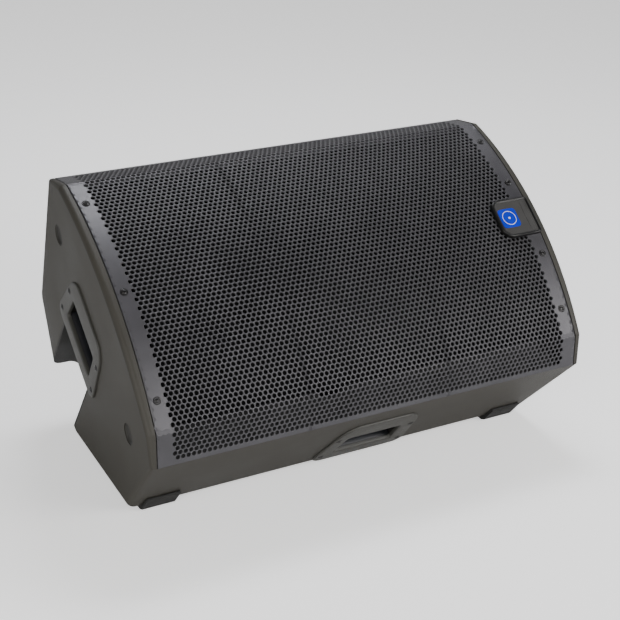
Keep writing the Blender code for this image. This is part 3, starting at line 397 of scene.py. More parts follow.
def drawn_in(section, insets):
    """Each point of a closed outline moved inwards by its inset, square to its own stretch."""
    before, after = np.roll(section, 1, 0), np.roll(section, -1, 0)
    first, second = section - before, after - section
    first, second = (np.stack((side[:, 1], -side[:, 0]), -1) / np.linalg.norm(side, axis=1)[:, None]
                     for side in (first, second))
    middle = first + second
    middle /= np.linalg.norm(middle, axis=1)[:, None]
    grow = np.maximum((middle * first).sum(1), 0.5)
    return section - middle * (insets / grow)[:, None]


def cabinet_form():
    """The outer form: at each end the section stands at nine places along X, drawn in by r (1 - sin t) and
    back by r (1 - cos t) as t turns through the rounded edge."""
    section, radii = cabinet_section()
    rings = []
    for turn in np.linspace(0, QUARTER, 9):
        ring = drawn_in(section, radii * (1 - math.sin(turn)))
        x = END_HALF - END_TAPER * section[:, 0] - radii * (1 - math.cos(turn))
        rings.append(np.column_stack((x, ring)))
    left = [ring * (-1, 1, 1) for ring in rings]
    return skin("cabinet form", placed(np.stack(left + rings[::-1]), grille_middle, cabinet_axes))


def between_ends(outline, half):
    """A closed outline in depth and width, carried along X from -half to half at each of its points."""
    rings = np.stack([np.column_stack((side * half, outline)) for side in (-1, 1)])
    return skin("cutter", placed(rings, grille_middle, cabinet_axes))


def hollow_outline():
    """The section drawn in by the wall, without its front, and carried forwards from both of its ends along
    the straight sides to a mouth that laps the floor of the grille's recess."""
    section = cabinet_section()[0]
    inner = drawn_in(section, np.full(len(section), WALL))
    inner = inner[inner[:, 0] > HOLLOW_FROM]
    mouth = RECESS_DEPTH - MOUTH_LAP
    (low_depth, low_width), (high_depth, high_width) = SECTION_CORNERS[0][0], SECTION_CORNERS[3][0]
    low_slope = (flange_half + low_width) / (low_depth - flange_depth)
    high_slope = (flange_half - high_width) / (high_depth - flange_depth)
    low = (mouth, inner[0, 1] - (inner[0, 0] - mouth) * low_slope)
    high = (mouth, inner[-1, 1] + (inner[-1, 0] - mouth) * high_slope)
    return np.concatenate(([low], inner, [high]))


def carved(mesh, cutters, kept_in=None):
    """What exact Booleans leave of a mesh: each cutter is taken away, then all that lies outside kept_in."""
    steps = [("DIFFERENCE", cutter) for cutter in cutters]
    if kept_in is not None:
        steps.append(("INTERSECT", kept_in))
    blank = bpy.data.objects.new("blank", mesh)
    helpers = [blank]
    for operation, shape in steps:
        helpers.append(bpy.data.objects.new("cutter", shape))
        cut = blank.modifiers.new("cut", "BOOLEAN")
        cut.operation = operation
        cut.solver = "EXACT"
        cut.object = helpers[-1]
    for helper in helpers:
        bpy.context.scene.collection.objects.link(helper)
    graph = bpy.context.evaluated_depsgraph_get()
    made = bpy.data.meshes.new_from_object(blank.evaluated_get(graph))
    for helper in helpers:
        bpy.data.objects.remove(helper)
    return made


def swept(outline, low, high, origin, axes):
    """A closed outline in two of the axes, carried along the third from low to high: a prism."""
    rings = np.stack([np.column_stack((outline, np.full(len(outline), level))) for level in (low, high)])
    return skin("cutter", placed(rings, origin, axes))


def bar_outline(half, low, high, radius, steps=8):
    """A rectangle in X and Z whose two lower corners are rounded: the cross-section of a handle's pocket."""
    t = np.linspace(0, QUARTER, steps + 1)
    left = np.stack((-half + radius * (1 - np.cos(t)), low + radius * (1 - np.sin(t))), -1)
    right = left[::-1] * (-1, 1)
    return np.concatenate(([[-half, high]], left, right, [[half, high]]))


def disc_outline(radius, count=48):
    """A circle of points."""
    t = np.arange(count) * math.tau / count
    return radius * np.stack((np.cos(t), np.sin(t)), -1)


def seat_of(node, towards, top):
    """Origin and axes of a plate: the middle of its width, the start of its length, and its highest point
    less top."""
    axes = face_axes(outward_normal(node, towards))
    spans = node_points(node) @ axes.T
    low, high = spans.min(0), spans.max(0)
    return np.array([(low[0] + high[0]) / 2, low[1], high[2] - top]) @ axes, axes


def seat_on(node, axes, level):
    """The point at a level along the last axis, in the middle of a node's spread along the others."""
    spans = node_points(node) @ axes.T
    middle = (spans.min(0) + spans.max(0)) / 2
    return np.array((middle[0], middle[1], level)) @ axes


def pocket_block(wall, deep, past, radius, start, run, seat):
    """The prism of a handle's pocket: its cross-section, carried to the rear along the face it is cut in."""
    origin, axes = seat
    return swept(bar_outline(POCKET_HALF + wall, -deep, past, radius), start, run, origin, axes[[0, 2, 1]])


handle_seats = {handle: seat_of(handle + "_plate", towards, PLATE_TOP)
                for handle, towards in (("top_handle", -along), ("side_handle", -across))}
rear_out = -np.array(joints["push_button_1_press"]["axis"])
rear_axes = np.stack((along, np.cross(rear_out, along), rear_out))
tray_origin = seat_on("amp_tray", rear_axes, (node_points("amp_tray") @ rear_out).max() - TRAY_TOP)

room = hollow_outline()
recess = np.array(((-0.1, -0.3), (RECESS_DEPTH, -0.3), (RECESS_DEPTH, 0.3), (-0.1, 0.3)))
cutters = [between_ends(room, END_HALF - END_TAPER * room[:, 0] - WALL),
           between_ends(recess, np.full(4, grille_reach + RECESS_GAP))]
for seat in handle_seats.values():
    cutters.append(pocket_block(CLEARANCE, POCKET_DEEP + CUP_WALL + CLEARANCE, POCKET_PAST, POCKET_ROUND,
                                POCKET_START - CLEARANCE, POCKET_RUN, seat))
end_rooms = [(f"rigging_plug_{i}", -along, PLUG_ROOM) for i in (1, 2)]
end_rooms += [(f"base_foot_{i}", along, FOOT_ROOM) for i in (1, 2, 3, 4)]
end_rooms += [("pole_socket", along, SOCKET_ROOM), ("pole_socket", along, SOCKET_BORE)]
end_faces = {-1: face_axes(outward_normal("rigging_plug_1", -along)),
             1: face_axes(outward_normal("pole_socket", along))}
end_level = (node_points("pole_socket") @ end_faces[1][2]).max()
end_places = {}
for node, towards, (radius, deep) in end_rooms:
    axes = end_faces[int(towards[0])]
    end_places[node] = (seat_on(node, axes, end_level), axes)
    cutters.append(swept(disc_outline(radius), -deep, 0.02, *end_places[node]))
tray_hole = np.array(((-1, -1), (1, -1), (1, 1), (-1, 1))) * (TRAY_LONG, TRAY_WIDE)
cutters.append(swept(tray_hole, -0.03, 0.03, tray_origin, rear_axes))
outer_form = cabinet_form()
even_shading(shown("cabinet_moulding", carved(outer_form, cutters), cabinet_plastic,
                   ["cabinet_shell"]))


# ---- Grille -------------------------------------------------------------------------------------
# Steel sheet 1.5 mm thick, perforated with round holes in a hexagonal lattice except along its two end
# margins and behind the badge, rolled to a shallow arc with a folded strip on each side, powder coated.

GRILLE_PITCH = 0.00754
HOLE_RADIUS = 0.00312
HOLE_SIDES = 12
SHEET = 0.0015
SHEET_GAP = 0.0006
END_MARGIN = 0.0205
SIDE_MARGIN = 0.0008
FOLD_LENGTH = 0.012
BADGE_PAST = 0.004
BADGE_COVER = 0.0045
BADGE_SLANT = 0.0335

grille_half = grille_reach - SHEET_GAP
arc_lean = math.asin(fold_half / arc_radius)
flange_lean = math.atan2(flange_depth, flange_half - fold_half)
arc_half = arc_radius * arc_lean
girth_half = arc_half + math.hypot(flange_depth, flange_half - fold_half)


def sheet_place(x, girth):
    """Where a point of the rolled sheet lies: the heading grows evenly along the arc, eases to the strip's
    over the fold, and its cosine and sine are summed up to give the place across and the depth."""
    steps = np.linspace(0.0, girth_half, 3000)
    ease = np.clip((steps - arc_half + FOLD_LENGTH / 2) / FOLD_LENGTH, 0, 1)
    ease = ease * ease * (3 - 2 * ease)
    heading = np.minimum(steps / arc_radius, arc_lean) * (1 - ease) + flange_lean * ease
    step = steps[1] - steps[0]
    middle = (heading[1:] + heading[:-1]) / 2
    depth = np.concatenate(([0], np.cumsum(np.sin(middle)) * step)) - arc_rise
    width = np.concatenate(([0], np.cumsum(np.cos(middle)) * step))
    side, reach = np.sign(girth), np.abs(girth)
    d = np.interp(reach, steps, depth)
    w = side * np.interp(reach, steps, width)
    return placed(np.stack((x, d, w), -1), grille_middle, cabinet_axes)


def lattice_cells():
    """Centres of the hexagons that cover the sheet, row by row, every second row half a pitch along."""
    row_gap = GRILLE_PITCH * math.sqrt(3) / 2
    rows = np.arange(-int(girth_half / row_gap) - 1, int(girth_half / row_gap) + 2)
    columns = np.arange(-int(grille_half / GRILLE_PITCH) - 1, int(grille_half / GRILLE_PITCH) + 2)
    row, column = np.meshgrid(rows, columns, indexing="ij")
    x = (column + 0.5 * (row % 2)) * GRILLE_PITCH
    return np.stack((x.ravel(), (row * row_gap).ravel()), -1)


def perforated(name, cells, holed):
    """A sheet of hexagonal cells, the holed ones as six five-sided faces round a twelve-sided hole. Corners
    past the sheet's edge are brought back to it, and corners that meet are joined."""
    corner_turn = math.pi / 6 + np.arange(6) * math.pi / 3
    corners = GRILLE_PITCH / math.sqrt(3) * np.stack((np.cos(corner_turn), np.sin(corner_turn)), -1)
    hole_turn = math.pi / 6 + np.arange(HOLE_SIDES) * math.tau / HOLE_SIDES
    rim = HOLE_RADIUS * np.stack((np.cos(hole_turn), np.sin(hole_turn)), -1)
    limits = np.array([grille_half, girth_half])
    outer = np.clip(cells[:, None] + corners, -limits, limits)
    _, first, index = np.unique(np.round(outer.reshape(-1, 2) * 1e5).astype(int), axis=0,
                                return_index=True, return_inverse=True)
    outer_index = index.reshape(-1, 6)
    flat = outer.reshape(-1, 2)[first]
    inner = (cells[holed][:, None] + rim).reshape(-1, 2)
    inner_index = len(flat) + np.arange(len(inner)).reshape(-1, HOLE_SIDES)
    around = np.arange(6)
    after = (around + 1) % 6
    here = outer_index[holed]
    webs = np.stack((here[:, around], here[:, after], inner_index[:, 2 * after],
                     inner_index[:, 2 * around + 1], inner_index[:, 2 * around]), -1).reshape(-1, 5)
    points = np.concatenate((flat, inner))
    blanks = [list(dict.fromkeys(face)) for face in outer_index[~holed].tolist()]
    faces = webs.tolist() + [face for face in blanks if len(face) > 2]
    mesh = bpy.data.meshes.new(name)
    mesh.from_pydata(sheet_place(points[:, 0], points[:, 1]).tolist(), [], faces)
    bm = bmesh.new()
    bm.from_mesh(mesh)
    thin = [face for face in bm.faces if face.calc_area() < 1e-9]
    bmesh.ops.delete(bm, geom=thin, context="FACES")
    bmesh.ops.remove_doubles(bm, verts=bm.verts, dist=2e-5)
    loose = [vert for vert in bm.verts if not vert.link_faces]
    bmesh.ops.delete(bm, geom=loose, context="VERTS")
    bm.to_mesh(mesh)
    bm.free()
    return mesh


badge_points = (node_points("badge_housing") - grille_middle) @ cabinet_axes.T
badge_low, badge_high = badge_points[:, 0].min() - BADGE_PAST, badge_points[:, 0].max()
badge_half = np.abs(badge_points[:, 2]).max()
cells = lattice_cells()
from_badge = cells[:, 0] - (badge_low + badge_high) / 2
by_badge = (cells[:, 0] > badge_low + BADGE_COVER) & (np.abs(cells[:, 1]) < badge_half - BADGE_COVER)
by_badge &= (np.abs(cells[:, 1]) - from_badge) / math.sqrt(2) < BADGE_SLANT
holed = (np.abs(cells[:, 0]) < grille_half - END_MARGIN) & ~by_badge
holed &= np.abs(cells[:, 1]) < girth_half - HOLE_RADIUS - SIDE_MARGIN
grille_paint = finish("powder coat", (0.052, 0.051, 0.057), (0.078, 0.076, 0.084), (0.30, 0.40),
                      (2200.0, 0.00010), metal=0.30, clouds=14.0)
third = np.clip(((cells[:, 0] + grille_half) * 1.5 / grille_half).astype(int), 0, 2)
for strip, part in enumerate(("left", "middle", "right")):
    mesh = perforated(f"grille_{part}", cells[third == strip], holed[third == strip])
    sheet = shown(f"grille_{part}", mesh, grille_paint, ["grille"], angle=1.5)
    thickness = sheet.modifiers.new("sheet thickness", "SOLIDIFY")
    thickness.thickness = SHEET
    thickness.offset = -1.0


# ---- Grille screws ------------------------------------------------------------------------------
# Seven black zinc-plated pan-head screws with a cross recess, each in a pressed cup, hold the grille's
# end margins to the ribs of the baffle.

GRILLE_SCREW = (0.0034, 0.0019)
SCREW_UNDER = -0.0012
CUP = ((0.0039, 0.0001), (0.0045, 0.0003), (0.0050, 0.0007), (0.0054, 0.0006), (0.0055, 0.0002))


def screw_rings(radius, height, cup=(), sides=48):
    """A domed head: its height falls as a quarter ellipse from the middle to its rim, and where a point lies
    in one of two crossed arms it drops by the recess depth. A shallow ring-shaped cup may lie round it."""
    reach = np.array([0.0, 0.12, 0.2, 0.28, 0.36, 0.44, 0.5, 0.56, 0.64, 0.76, 0.88, 0.96, 1.0])
    turn = np.arange(sides) * math.tau / sides
    r, a = np.meshgrid(reach, turn, indexing="ij")
    dome = height * (0.35 + 0.65 * np.sqrt(1 - (r * 0.999) ** 2))
    arm = r * np.minimum(np.abs(np.sin(a)), np.abs(np.cos(a)))
    recess = np.clip((0.17 - arm) / 0.06, 0, 1) * np.clip((0.58 - r) / 0.08, 0, 1)
    z = dome - recess * height * 0.7
    head = np.stack((radius * r * np.cos(a), radius * r * np.sin(a), z), -1)
    rim = [(radius, 0.0002), *cup, (cup[-1][0] if cup else radius, SCREW_UNDER), (0.0, SCREW_UNDER)]
    rim_r, rim_z = np.array(rim).T
    skirt = np.stack((rim_r[:, None] * np.cos(turn), rim_r[:, None] * np.sin(turn),
                      np.repeat(rim_z[:, None], sides, 1)), -1)
    return np.concatenate((head, skirt))


def sheet_axes(x, girth):
    """The place and the three axes of a point on the grille: X along it, Y round it and Z out of it."""
    low, here, high = (sheet_place(x, girth + shift) for shift in (-1e-3, 0.0, 1e-3))
    around = (high - low) / np.linalg.norm(high - low)
    return here, np.stack((along, around, np.cross(along, around)))


black_zinc = finish("black zinc", (0.035, 0.035, 0.037), (0.070, 0.069, 0.068), (0.26, 0.42),
                    (2600.0, 0.00003), metal=0.9, clouds=160.0)
screw_nodes = sorted(name for name in frame["nodes"] if name.startswith("grille_screw_"))
for node in screw_nodes:
    own = (node_points(node).mean(0) - grille_middle) @ cabinet_axes.T
    girth = arc_radius * math.atan2(own[2], arc_radius - arc_rise - own[1])
    origin, axes = sheet_axes(own[0], girth)
    rings = placed(screw_rings(*GRILLE_SCREW, CUP), origin + axes[2] * 0.0001, axes)
    shown(node + "_head", skin(node, rings), black_zinc, [node])


# ---- Badge --------------------------------------------------------------------------------------
# A moulded housing on the grille at its base end: a raised rim round a sunk panel, a blue acrylic plate
# let into the panel with a plain printed ring and dot, and a raised strip beside the grille's end.

def rounded_polygon(edges, inset, power, count, centre=(0.0, 0.0)):
    """Points of a polygon with rounded corners. An edge is (turn, distance) of its foot from the centre, and
    the reach at a turn t is the inverse of the p-norm of cos(t - turn) / distance over the edges it faces."""
    turns, distances = (np.array(column, float) for column in zip(*edges))
    t = (np.arange(count) + 0.5) * math.tau / count
    facing = np.maximum(np.cos(t[:, None] - turns), 0) / (distances - inset)
    reach = (facing ** power).sum(1) ** (-1 / power)
    return np.stack((centre[0] + reach * np.cos(t), centre[1] + reach * np.sin(t)), -1)


def stepped(levels):
    """Rings from (outline points, height) pairs, in a plane's own axes."""
    return np.stack([np.column_stack((points, np.full(len(points), z))) for points, z in levels])


def block(levels, origin, axes, looped=False):
    """A closed surface through (outline, height) pairs, put at an origin and along three axes."""
    return skin("block", placed(stepped(levels), origin, axes), looped)


def badge_block(edges, power, profile, centre=(0.0, 0.0)):
    """A rounded polygon on the badge, drawn in by each inset of a profile at its height."""
    levels = [(rounded_polygon(edges, inset, power, 96, centre), z) for inset, z in profile]
    return block(levels, badge_origin, badge_axes)


def printed_round(profile, looped=False):
    """Circles of the given radii and heights round the middle of the badge's plate."""
    levels = [(disc_outline(radius, 64) + (PLATE_SHIFT, 0.0), z) for radius, z in profile]
    return block(levels, badge_origin, badge_axes, looped)


badge_middle = (badge_low + badge_high) / 2
badge_reach = (badge_high - badge_low) / 2
badge_origin = placed((badge_middle, -arc_rise, 0.0), grille_middle, cabinet_axes)
badge_axes = np.stack((along, across, -inward))
BADGE_EDGES = ((0.0, badge_reach), (QUARTER, badge_half), (2 * QUARTER, badge_reach),
               (3 * QUARTER, badge_half), (1.5 * QUARTER, 0.0405), (2.5 * QUARTER, 0.0375))
FRAME_PROFILE = ((0.0, -0.0008), (0.0, 0.0050), (0.0004, 0.0057), (0.0012, 0.0062), (0.0024, 0.0062),
                 (0.0031, 0.0058), (0.0034, 0.0050), (0.0040, 0.0047))
PANEL_PROFILE = ((0.0041, 0.0040), (0.0041, 0.0049), (0.0044, 0.0051))
PLATE_SHIFT = -0.0125
PLATE_HALF = 0.0156
PLATE_EDGES = tuple((QUARTER * i, PLATE_HALF) for i in range(4))
PLATE_EDGES += tuple((QUARTER * (i + 0.5), PLATE_HALF * 1.28) for i in range(4))
PLATE_PROFILE = ((0.0, 0.0040), (0.0, 0.0053), (0.0003, 0.0056), (0.0008, 0.0057))
RING_PROFILE = ((0.0108, 0.0056), (0.0108, 0.0059), (0.0116, 0.0059), (0.0116, 0.0056))
DOT_PROFILE = ((0.0018, 0.0056), (0.0018, 0.0059), (0.0016, 0.0060))
STRIP_SHIFT = 0.0205
STRIP_EDGES = ((0.0, 0.0042), (QUARTER, 0.0262), (2 * QUARTER, 0.0042), (3 * QUARTER, 0.0262))
STRIP_PROFILE = ((0.0, 0.0040), (0.0, 0.0052), (0.0006, 0.0058))

black_plastic = finish("black satin plastic", (0.014, 0.014, 0.015), (0.024, 0.024, 0.025), (0.34, 0.50),
                       (1800.0, 0.00008), clouds=30.0)
frame_gloss = finish("badge frame gloss", (0.003, 0.003, 0.003), (0.005, 0.005, 0.005), (0.28, 0.36),
                     (1800.0, 0.00004), clouds=30.0)
charcoal = finish("badge charcoal", (0.030, 0.029, 0.028), (0.042, 0.041, 0.039), (0.40, 0.52),
                  (1800.0, 0.00010), clouds=30.0)
blue_acrylic = finish("blue acrylic", (0.002, 0.020, 0.42), (0.003, 0.026, 0.50), (0.30, 0.40),
                      (900.0, 0.00001), clouds=60.0, specular=0.15)
white_print = finish("white print", (0.62, 0.63, 0.66), (0.78, 0.79, 0.82), (0.35, 0.45), (2000.0, 0.00002),
                     clouds=80.0)
shown("badge_frame", badge_block(BADGE_EDGES, 26, FRAME_PROFILE), frame_gloss,
      ["badge_housing"])
shown("badge_panel", badge_block(BADGE_EDGES, 26, PANEL_PROFILE), charcoal)
shown("badge_face", badge_block(PLATE_EDGES, 22, PLATE_PROFILE, (PLATE_SHIFT, 0.0)), blue_acrylic,
      ["badge_plate"])
shown("badge_ring", printed_round(RING_PROFILE, looped=True), white_print)
shown("badge_dot", printed_round(DOT_PROFILE), white_print)
shown("badge_strip", badge_block(STRIP_EDGES, 24, STRIP_PROFILE, (STRIP_SHIFT, 0.0)), charcoal)


# ---- Carry handles ------------------------------------------------------------------------------
# Two identical handles in glass-filled nylon: a plate with a raised lip round its opening and four screws,
# a round-backed grip bar across the pocket, and behind it a pocket that runs out at the cabinet's far edge.

PLATE_CENTRE = (0.0, 0.067)
PLATE_CORNERS = np.array([(-0.047, 0.0), (0.047, 0.0), (0.063, 0.018), (0.077, 0.110),
                          (0.066, 0.120), (-0.066, 0.120), (-0.077, 0.110), (-0.063, 0.018)])
SLOT_CORNERS = np.array([(-0.044, 0.041), (0.044, 0.041), (0.049, 0.093), (-0.049, 0.093)])
GRIP_Y = (0.0934, 0.1172)
GRIP_DEEP = 0.0160
GRIP_HALF = 0.0500
HANDLE_SCREW = (0.0045, 0.0014)
HANDLE_SCREWS = ((-0.0600, 0.0420), (0.0600, 0.0420), (-0.0655, 0.1010), (0.0655, 0.1010))
GRIP_POINTS = 32
PLATE_POINTS = 160


def edges_of(corners, centre):
    """(turn, distance) of each side of a polygon, seen from a centre."""
    side = np.roll(corners, -1, 0) - corners
    normal = np.stack((side[:, 1], -side[:, 0]), -1) / np.linalg.norm(side, axis=1)[:, None]
    distance = ((corners - np.array(centre)) * normal).sum(1)
    return tuple(zip(np.arctan2(normal[:, 1], normal[:, 0]), distance))


def screw(name, size, centre, axes, sides=48):
    """A black screw of a head size, (radius, height), on a surface: the piece of that name."""
    rings = placed(screw_rings(*size, sides=sides), centre, axes)
    shown(name, skin("screw", rings), black_zinc)


def grip_bar(origin, axes):
    """A bar across the pocket: a superellipse, cos and sin to the power 0.6, that thins at its ends."""
    turn = np.arange(GRIP_POINTS) * math.tau / GRIP_POINTS
    bow_y, bow_z = (np.sign(wave) * np.abs(wave) ** 0.6 for wave in (np.cos(turn), np.sin(turn)))
    station = np.linspace(-GRIP_HALF, GRIP_HALF, 9)[:, None]
    swell = 1.0 - 0.12 * (station / GRIP_HALF) ** 4
    y = (GRIP_Y[0] + GRIP_Y[1]) / 2 + (GRIP_Y[1] - GRIP_Y[0]) / 2 * bow_y
    z = GRIP_DEEP / 2 * (bow_z * swell - 1)
    grip = np.stack((np.broadcast_to(station, z.shape), np.broadcast_to(y, z.shape), z), -1)
    return skin("grip", placed(grip, origin, axes))


handle_plastic = finish("glass-filled nylon", (0.034, 0.034, 0.030), (0.052, 0.051, 0.046), (0.38, 0.52),
                        (1900.0, 0.00016), clouds=22.0)
# The pocket is coloured darker than the handle and the cabinet: painted shade, standing for the shade inside
# it.
pocket_plastic_with_painted_shade = finish("pocket plastic", (0.010, 0.0096, 0.0088), (0.017, 0.0162, 0.0145), (0.50, 0.64),
                        (1400.0, 0.00016), clouds=18.0)
grip_nylon = finish("grip nylon", (0.014, 0.0145, 0.018), (0.022, 0.0228, 0.028), (0.34, 0.48),
                    (1900.0, 0.00014), clouds=22.0)
cover_edges = edges_of(PLATE_CORNERS, PLATE_CENTRE)
slot_edges = edges_of(SLOT_CORNERS, PLATE_CENTRE)
COVER_PROFILE = ((0.0, 0.0003), (0.0, 0.0020), (0.0003, 0.0026), (0.0010, 0.0031), (0.0018, PLATE_TOP))
SLOT_PROFILE = ((-0.0038, PLATE_TOP), (-0.0016, 0.0030), (-0.0004, 0.0022), (0.0, 0.0012),
                (0.0, -0.0026), (-0.0022, -0.0026), (-0.0022, 0.0003))
for handle, seat in handle_seats.items():
    levels = [(rounded_polygon(edges, inset, power, PLATE_POINTS, PLATE_CENTRE), z)
              for edges, power, profile in ((cover_edges, 30, COVER_PROFILE), (slot_edges, 16, SLOT_PROFILE))
              for inset, z in profile]
    shown(handle + "_cover", block(levels, *seat, looped=True), handle_plastic,
          [handle + "_plate"])
    shown(handle + "_grip", grip_bar(*seat), grip_nylon)
    for i, place in enumerate(HANDLE_SCREWS):
        screw(f"{handle}_screw_{i + 1}", HANDLE_SCREW, placed((*place, PLATE_TOP - 0.0003), *seat), seat[1])
    outside = pocket_block(0.0, POCKET_DEEP + CUP_WALL, 0.02, POCKET_ROUND, POCKET_START, POCKET_RUN, seat)
    inside = pocket_block(-CUP_WALL, POCKET_DEEP, POCKET_PAST, POCKET_ROUND - CUP_WALL,
                          POCKET_START + CUP_WALL, POCKET_RUN + 0.1, seat)
    even_shading(shown(handle + "_pocket", carved(outside, [inside], kept_in=outer_form), pocket_plastic_with_painted_shade,
                       [handle + "_cup"]))


# ---- Front baffle, foam and drivers --------------------------------------------------------------
# Behind the grille: a black moulded baffle with two ribs, open-cell foam on the grille's back, the 15-inch
# woofer, the horn with its compression driver, and two round port tubes.

def coated(material, *nodes):
    """Gives CAD nodes their material."""
    for node in nodes:
        mesh = frame["nodes"][node].data
        mesh.materials.clear()
        mesh.materials.append(material)


# Black foam, coloured darker still than real foam: partly its own black and partly painted shade for the
# holes in front of it.
foam_with_painted_shade = finish("open-cell foam", (0.002, 0.002, 0.0022), (0.004, 0.004, 0.0044), (0.92, 1.0), (700.0, 0.0008),
              clouds=40.0, specular=0.08)
basket_paint = finish("basket paint", (0.020, 0.020, 0.021), (0.032, 0.032, 0.033), (0.38, 0.55),
                      (1500.0, 0.00006), metal=0.5, clouds=25.0)
cone_pulp = finish("coated pulp", (0.016, 0.016, 0.017), (0.034, 0.033, 0.032), (0.70, 0.88), (900.0, 0.0003),
                   clouds=60.0)
surround_rubber = finish("butyl rubber", (0.008, 0.008, 0.008), (0.016, 0.016, 0.016), (0.55, 0.70),
                         (2000.0, 0.00006), clouds=40.0)
bright_zinc = finish("bright zinc", (0.42, 0.41, 0.38), (0.60, 0.59, 0.55), (0.25, 0.42), (1200.0, 0.00003),
                     metal=1.0, clouds=60.0)
ferrite = finish("ferrite", (0.030, 0.030, 0.031), (0.050, 0.050, 0.052), (0.50, 0.70), (1600.0, 0.00012),
                 clouds=50.0)
copper = finish("enamelled copper", (0.50, 0.20, 0.08), (0.72, 0.34, 0.16), (0.25, 0.40), (4000.0, 0.00008),
                metal=1.0, clouds=90.0)
brass = finish("machined brass", (0.50, 0.36, 0.13), (0.70, 0.53, 0.24), (0.25, 0.40), (2500.0, 0.00003),
               metal=1.0, clouds=90.0)
titanium = finish("titanium foil", (0.34, 0.32, 0.30), (0.50, 0.48, 0.45), (0.25, 0.38), (1500.0, 0.00003),
                  metal=1.0, clouds=120.0)
spider_cloth = finish("resin-dipped cloth", (0.30, 0.19, 0.08), (0.48, 0.32, 0.15), (0.80, 0.95),
                      (1400.0, 0.0004), clouds=50.0)
coated(black_plastic, "front_baffle", "horn_waveguide", "hf_rear_cover", "port_tube_1", "port_tube_2")
coated(foam_with_painted_shade, "grille_foam")
coated(basket_paint, "woofer_basket")
coated(cone_pulp, "woofer_cone", "woofer_dust_cap")
coated(surround_rubber, "woofer_surround")
coated(bright_zinc, "woofer_front_plate", "woofer_back_plate")
coated(ferrite, "woofer_magnet", "hf_driver_body")
coated(copper, "woofer_voice_coil")
coated(brass, "rigging_insert_1", "rigging_insert_2")
coated(titanium, "hf_diaphragm")
coated(spider_cloth, "woofer_spider")


# ---- Rigging plugs, pole socket and feet ---------------------------------------------------------
# Two dished blanking plugs over the M10 inserts in the handle end; in the base end a moulded socket for a
# 35 mm pole and four round rubber feet; four rubber blocks under the monitor face.

def turned(profile, sides=64):
    """Rings of a profile of (radius, height) pairs turned round Z."""
    t = np.arange(sides) * math.tau / sides
    r, z = np.array(profile, float).T
    return np.stack((r[:, None] * np.cos(t), r[:, None] * np.sin(t), np.repeat(z[:, None], sides, 1)), -1)


def spun(profile, origin, axes, sides=64, looped=False):
    """The closed surface of a profile turned round the last of the axes at an origin."""
    return skin("spun", placed(turned(profile, sides), origin, axes), looped)


def merged_copy(node):
    """The mesh of a CAD node with its corners merged."""
    mesh = frame["nodes"][node].data.copy()
    bm = bmesh.new()
    bm.from_mesh(mesh)
    bmesh.ops.remove_doubles(bm, verts=bm.verts, dist=2e-6)
    bm.to_mesh(mesh)
    bm.free()
    return mesh


PLUG_PROFILE = ((0.0, -0.0040), (0.0145, -0.0040), (0.0145, -0.0010), (0.0142, -0.0007), (0.0136, -0.0007),
                (0.0129, -0.0012), (0.0120, -0.0022), (0.0108, -0.0029), (0.0, -0.0031))
POLE_R = 0.018
POLE_DEEP = 0.085
SOCKET_PROFILE = ((0.0, -0.0890), (0.0220, -0.0890), (0.0220, -0.0030), (0.0450, -0.0030), (0.0450, -0.0006),
                  (0.0446, -0.0002), (0.0440, 0.0), (0.0330, 0.0), (0.0324, -0.0004), (0.0316, -0.0004),
                  (0.0310, 0.0), (0.0205, 0.0), (0.0192, -0.0005), (POLE_R, -0.0020), (POLE_R, -POLE_DEEP),
                  (0.0, -POLE_DEEP))
POLE_SCREW = (0.0034, 0.0010)
POLE_SCREW_R = 0.0385
FOOT_PROFILE = ((0.0, -0.0030), (0.0140, -0.0030), (0.0140, 0.0026), (0.0137, 0.0034), (0.0130, 0.0039),
                (0.0120, 0.0040), (0.0085, 0.0040), (0.0078, 0.0036), (0.0070, 0.0034), (0.0040, 0.0034),
                (0.0036, 0.0024), (0.0, 0.0024))
# The plugs are coloured darker than the cabinet: painted shade, standing for the shade in their dished
# recesses.
plug_plastic_with_painted_shade = finish("plug plastic with painted shade", (0.012, 0.0114, 0.0095), (0.018, 0.0170, 0.0140), (0.46, 0.60),
                      (1300.0, 0.0002), clouds=20.0)
foot_rubber = finish("moulded rubber", (0.006, 0.006, 0.006), (0.013, 0.013, 0.013), (0.62, 0.80),
                     (1500.0, 0.0002), clouds=40.0)
for i in (1, 2):
    node = f"rigging_plug_{i}"
    shown(f"{node}_dish", spun(PLUG_PROFILE, *end_places[node]), plug_plastic_with_painted_shade, [node])

origin, axes = end_places["pole_socket"]
shown("pole_socket_moulding", spun(SOCKET_PROFILE, origin, axes), black_plastic,
      ["pole_socket"])
for i in range(4):
    turn = QUARTER * (i + 0.5)
    place = (POLE_SCREW_R * math.cos(turn), POLE_SCREW_R * math.sin(turn), -0.0006)
    screw(f"pole_socket_screw_{i + 1}", POLE_SCREW, placed(place, origin, axes), axes)

for i in (1, 2, 3, 4):
    node = f"base_foot_{i}"
    shown(f"{node}_pad", spun(FOOT_PROFILE, *end_places[node], sides=48), foot_rubber, [node])
    node = f"wedge_foot_{i}"
    foot = shown(f"{node}_block", merged_copy(node), foot_rubber, [node])
    soft = foot.modifiers.new("soft edges", "BEVEL")
    soft.width = 0.0016
    soft.segments = 3
    soft.limit_method = "ANGLE"
    soft.angle_limit = math.radians(28)
    even_shading(foot)


# ---- Amplifier tray -----------------------------------------------------------------------------
# A pressed and powder-coated aluminium tray let into the rear face, with a rolled rim held by twelve
# screws. Its floor carries the heatsink, the controls and the sockets; the board and supply hang behind it.

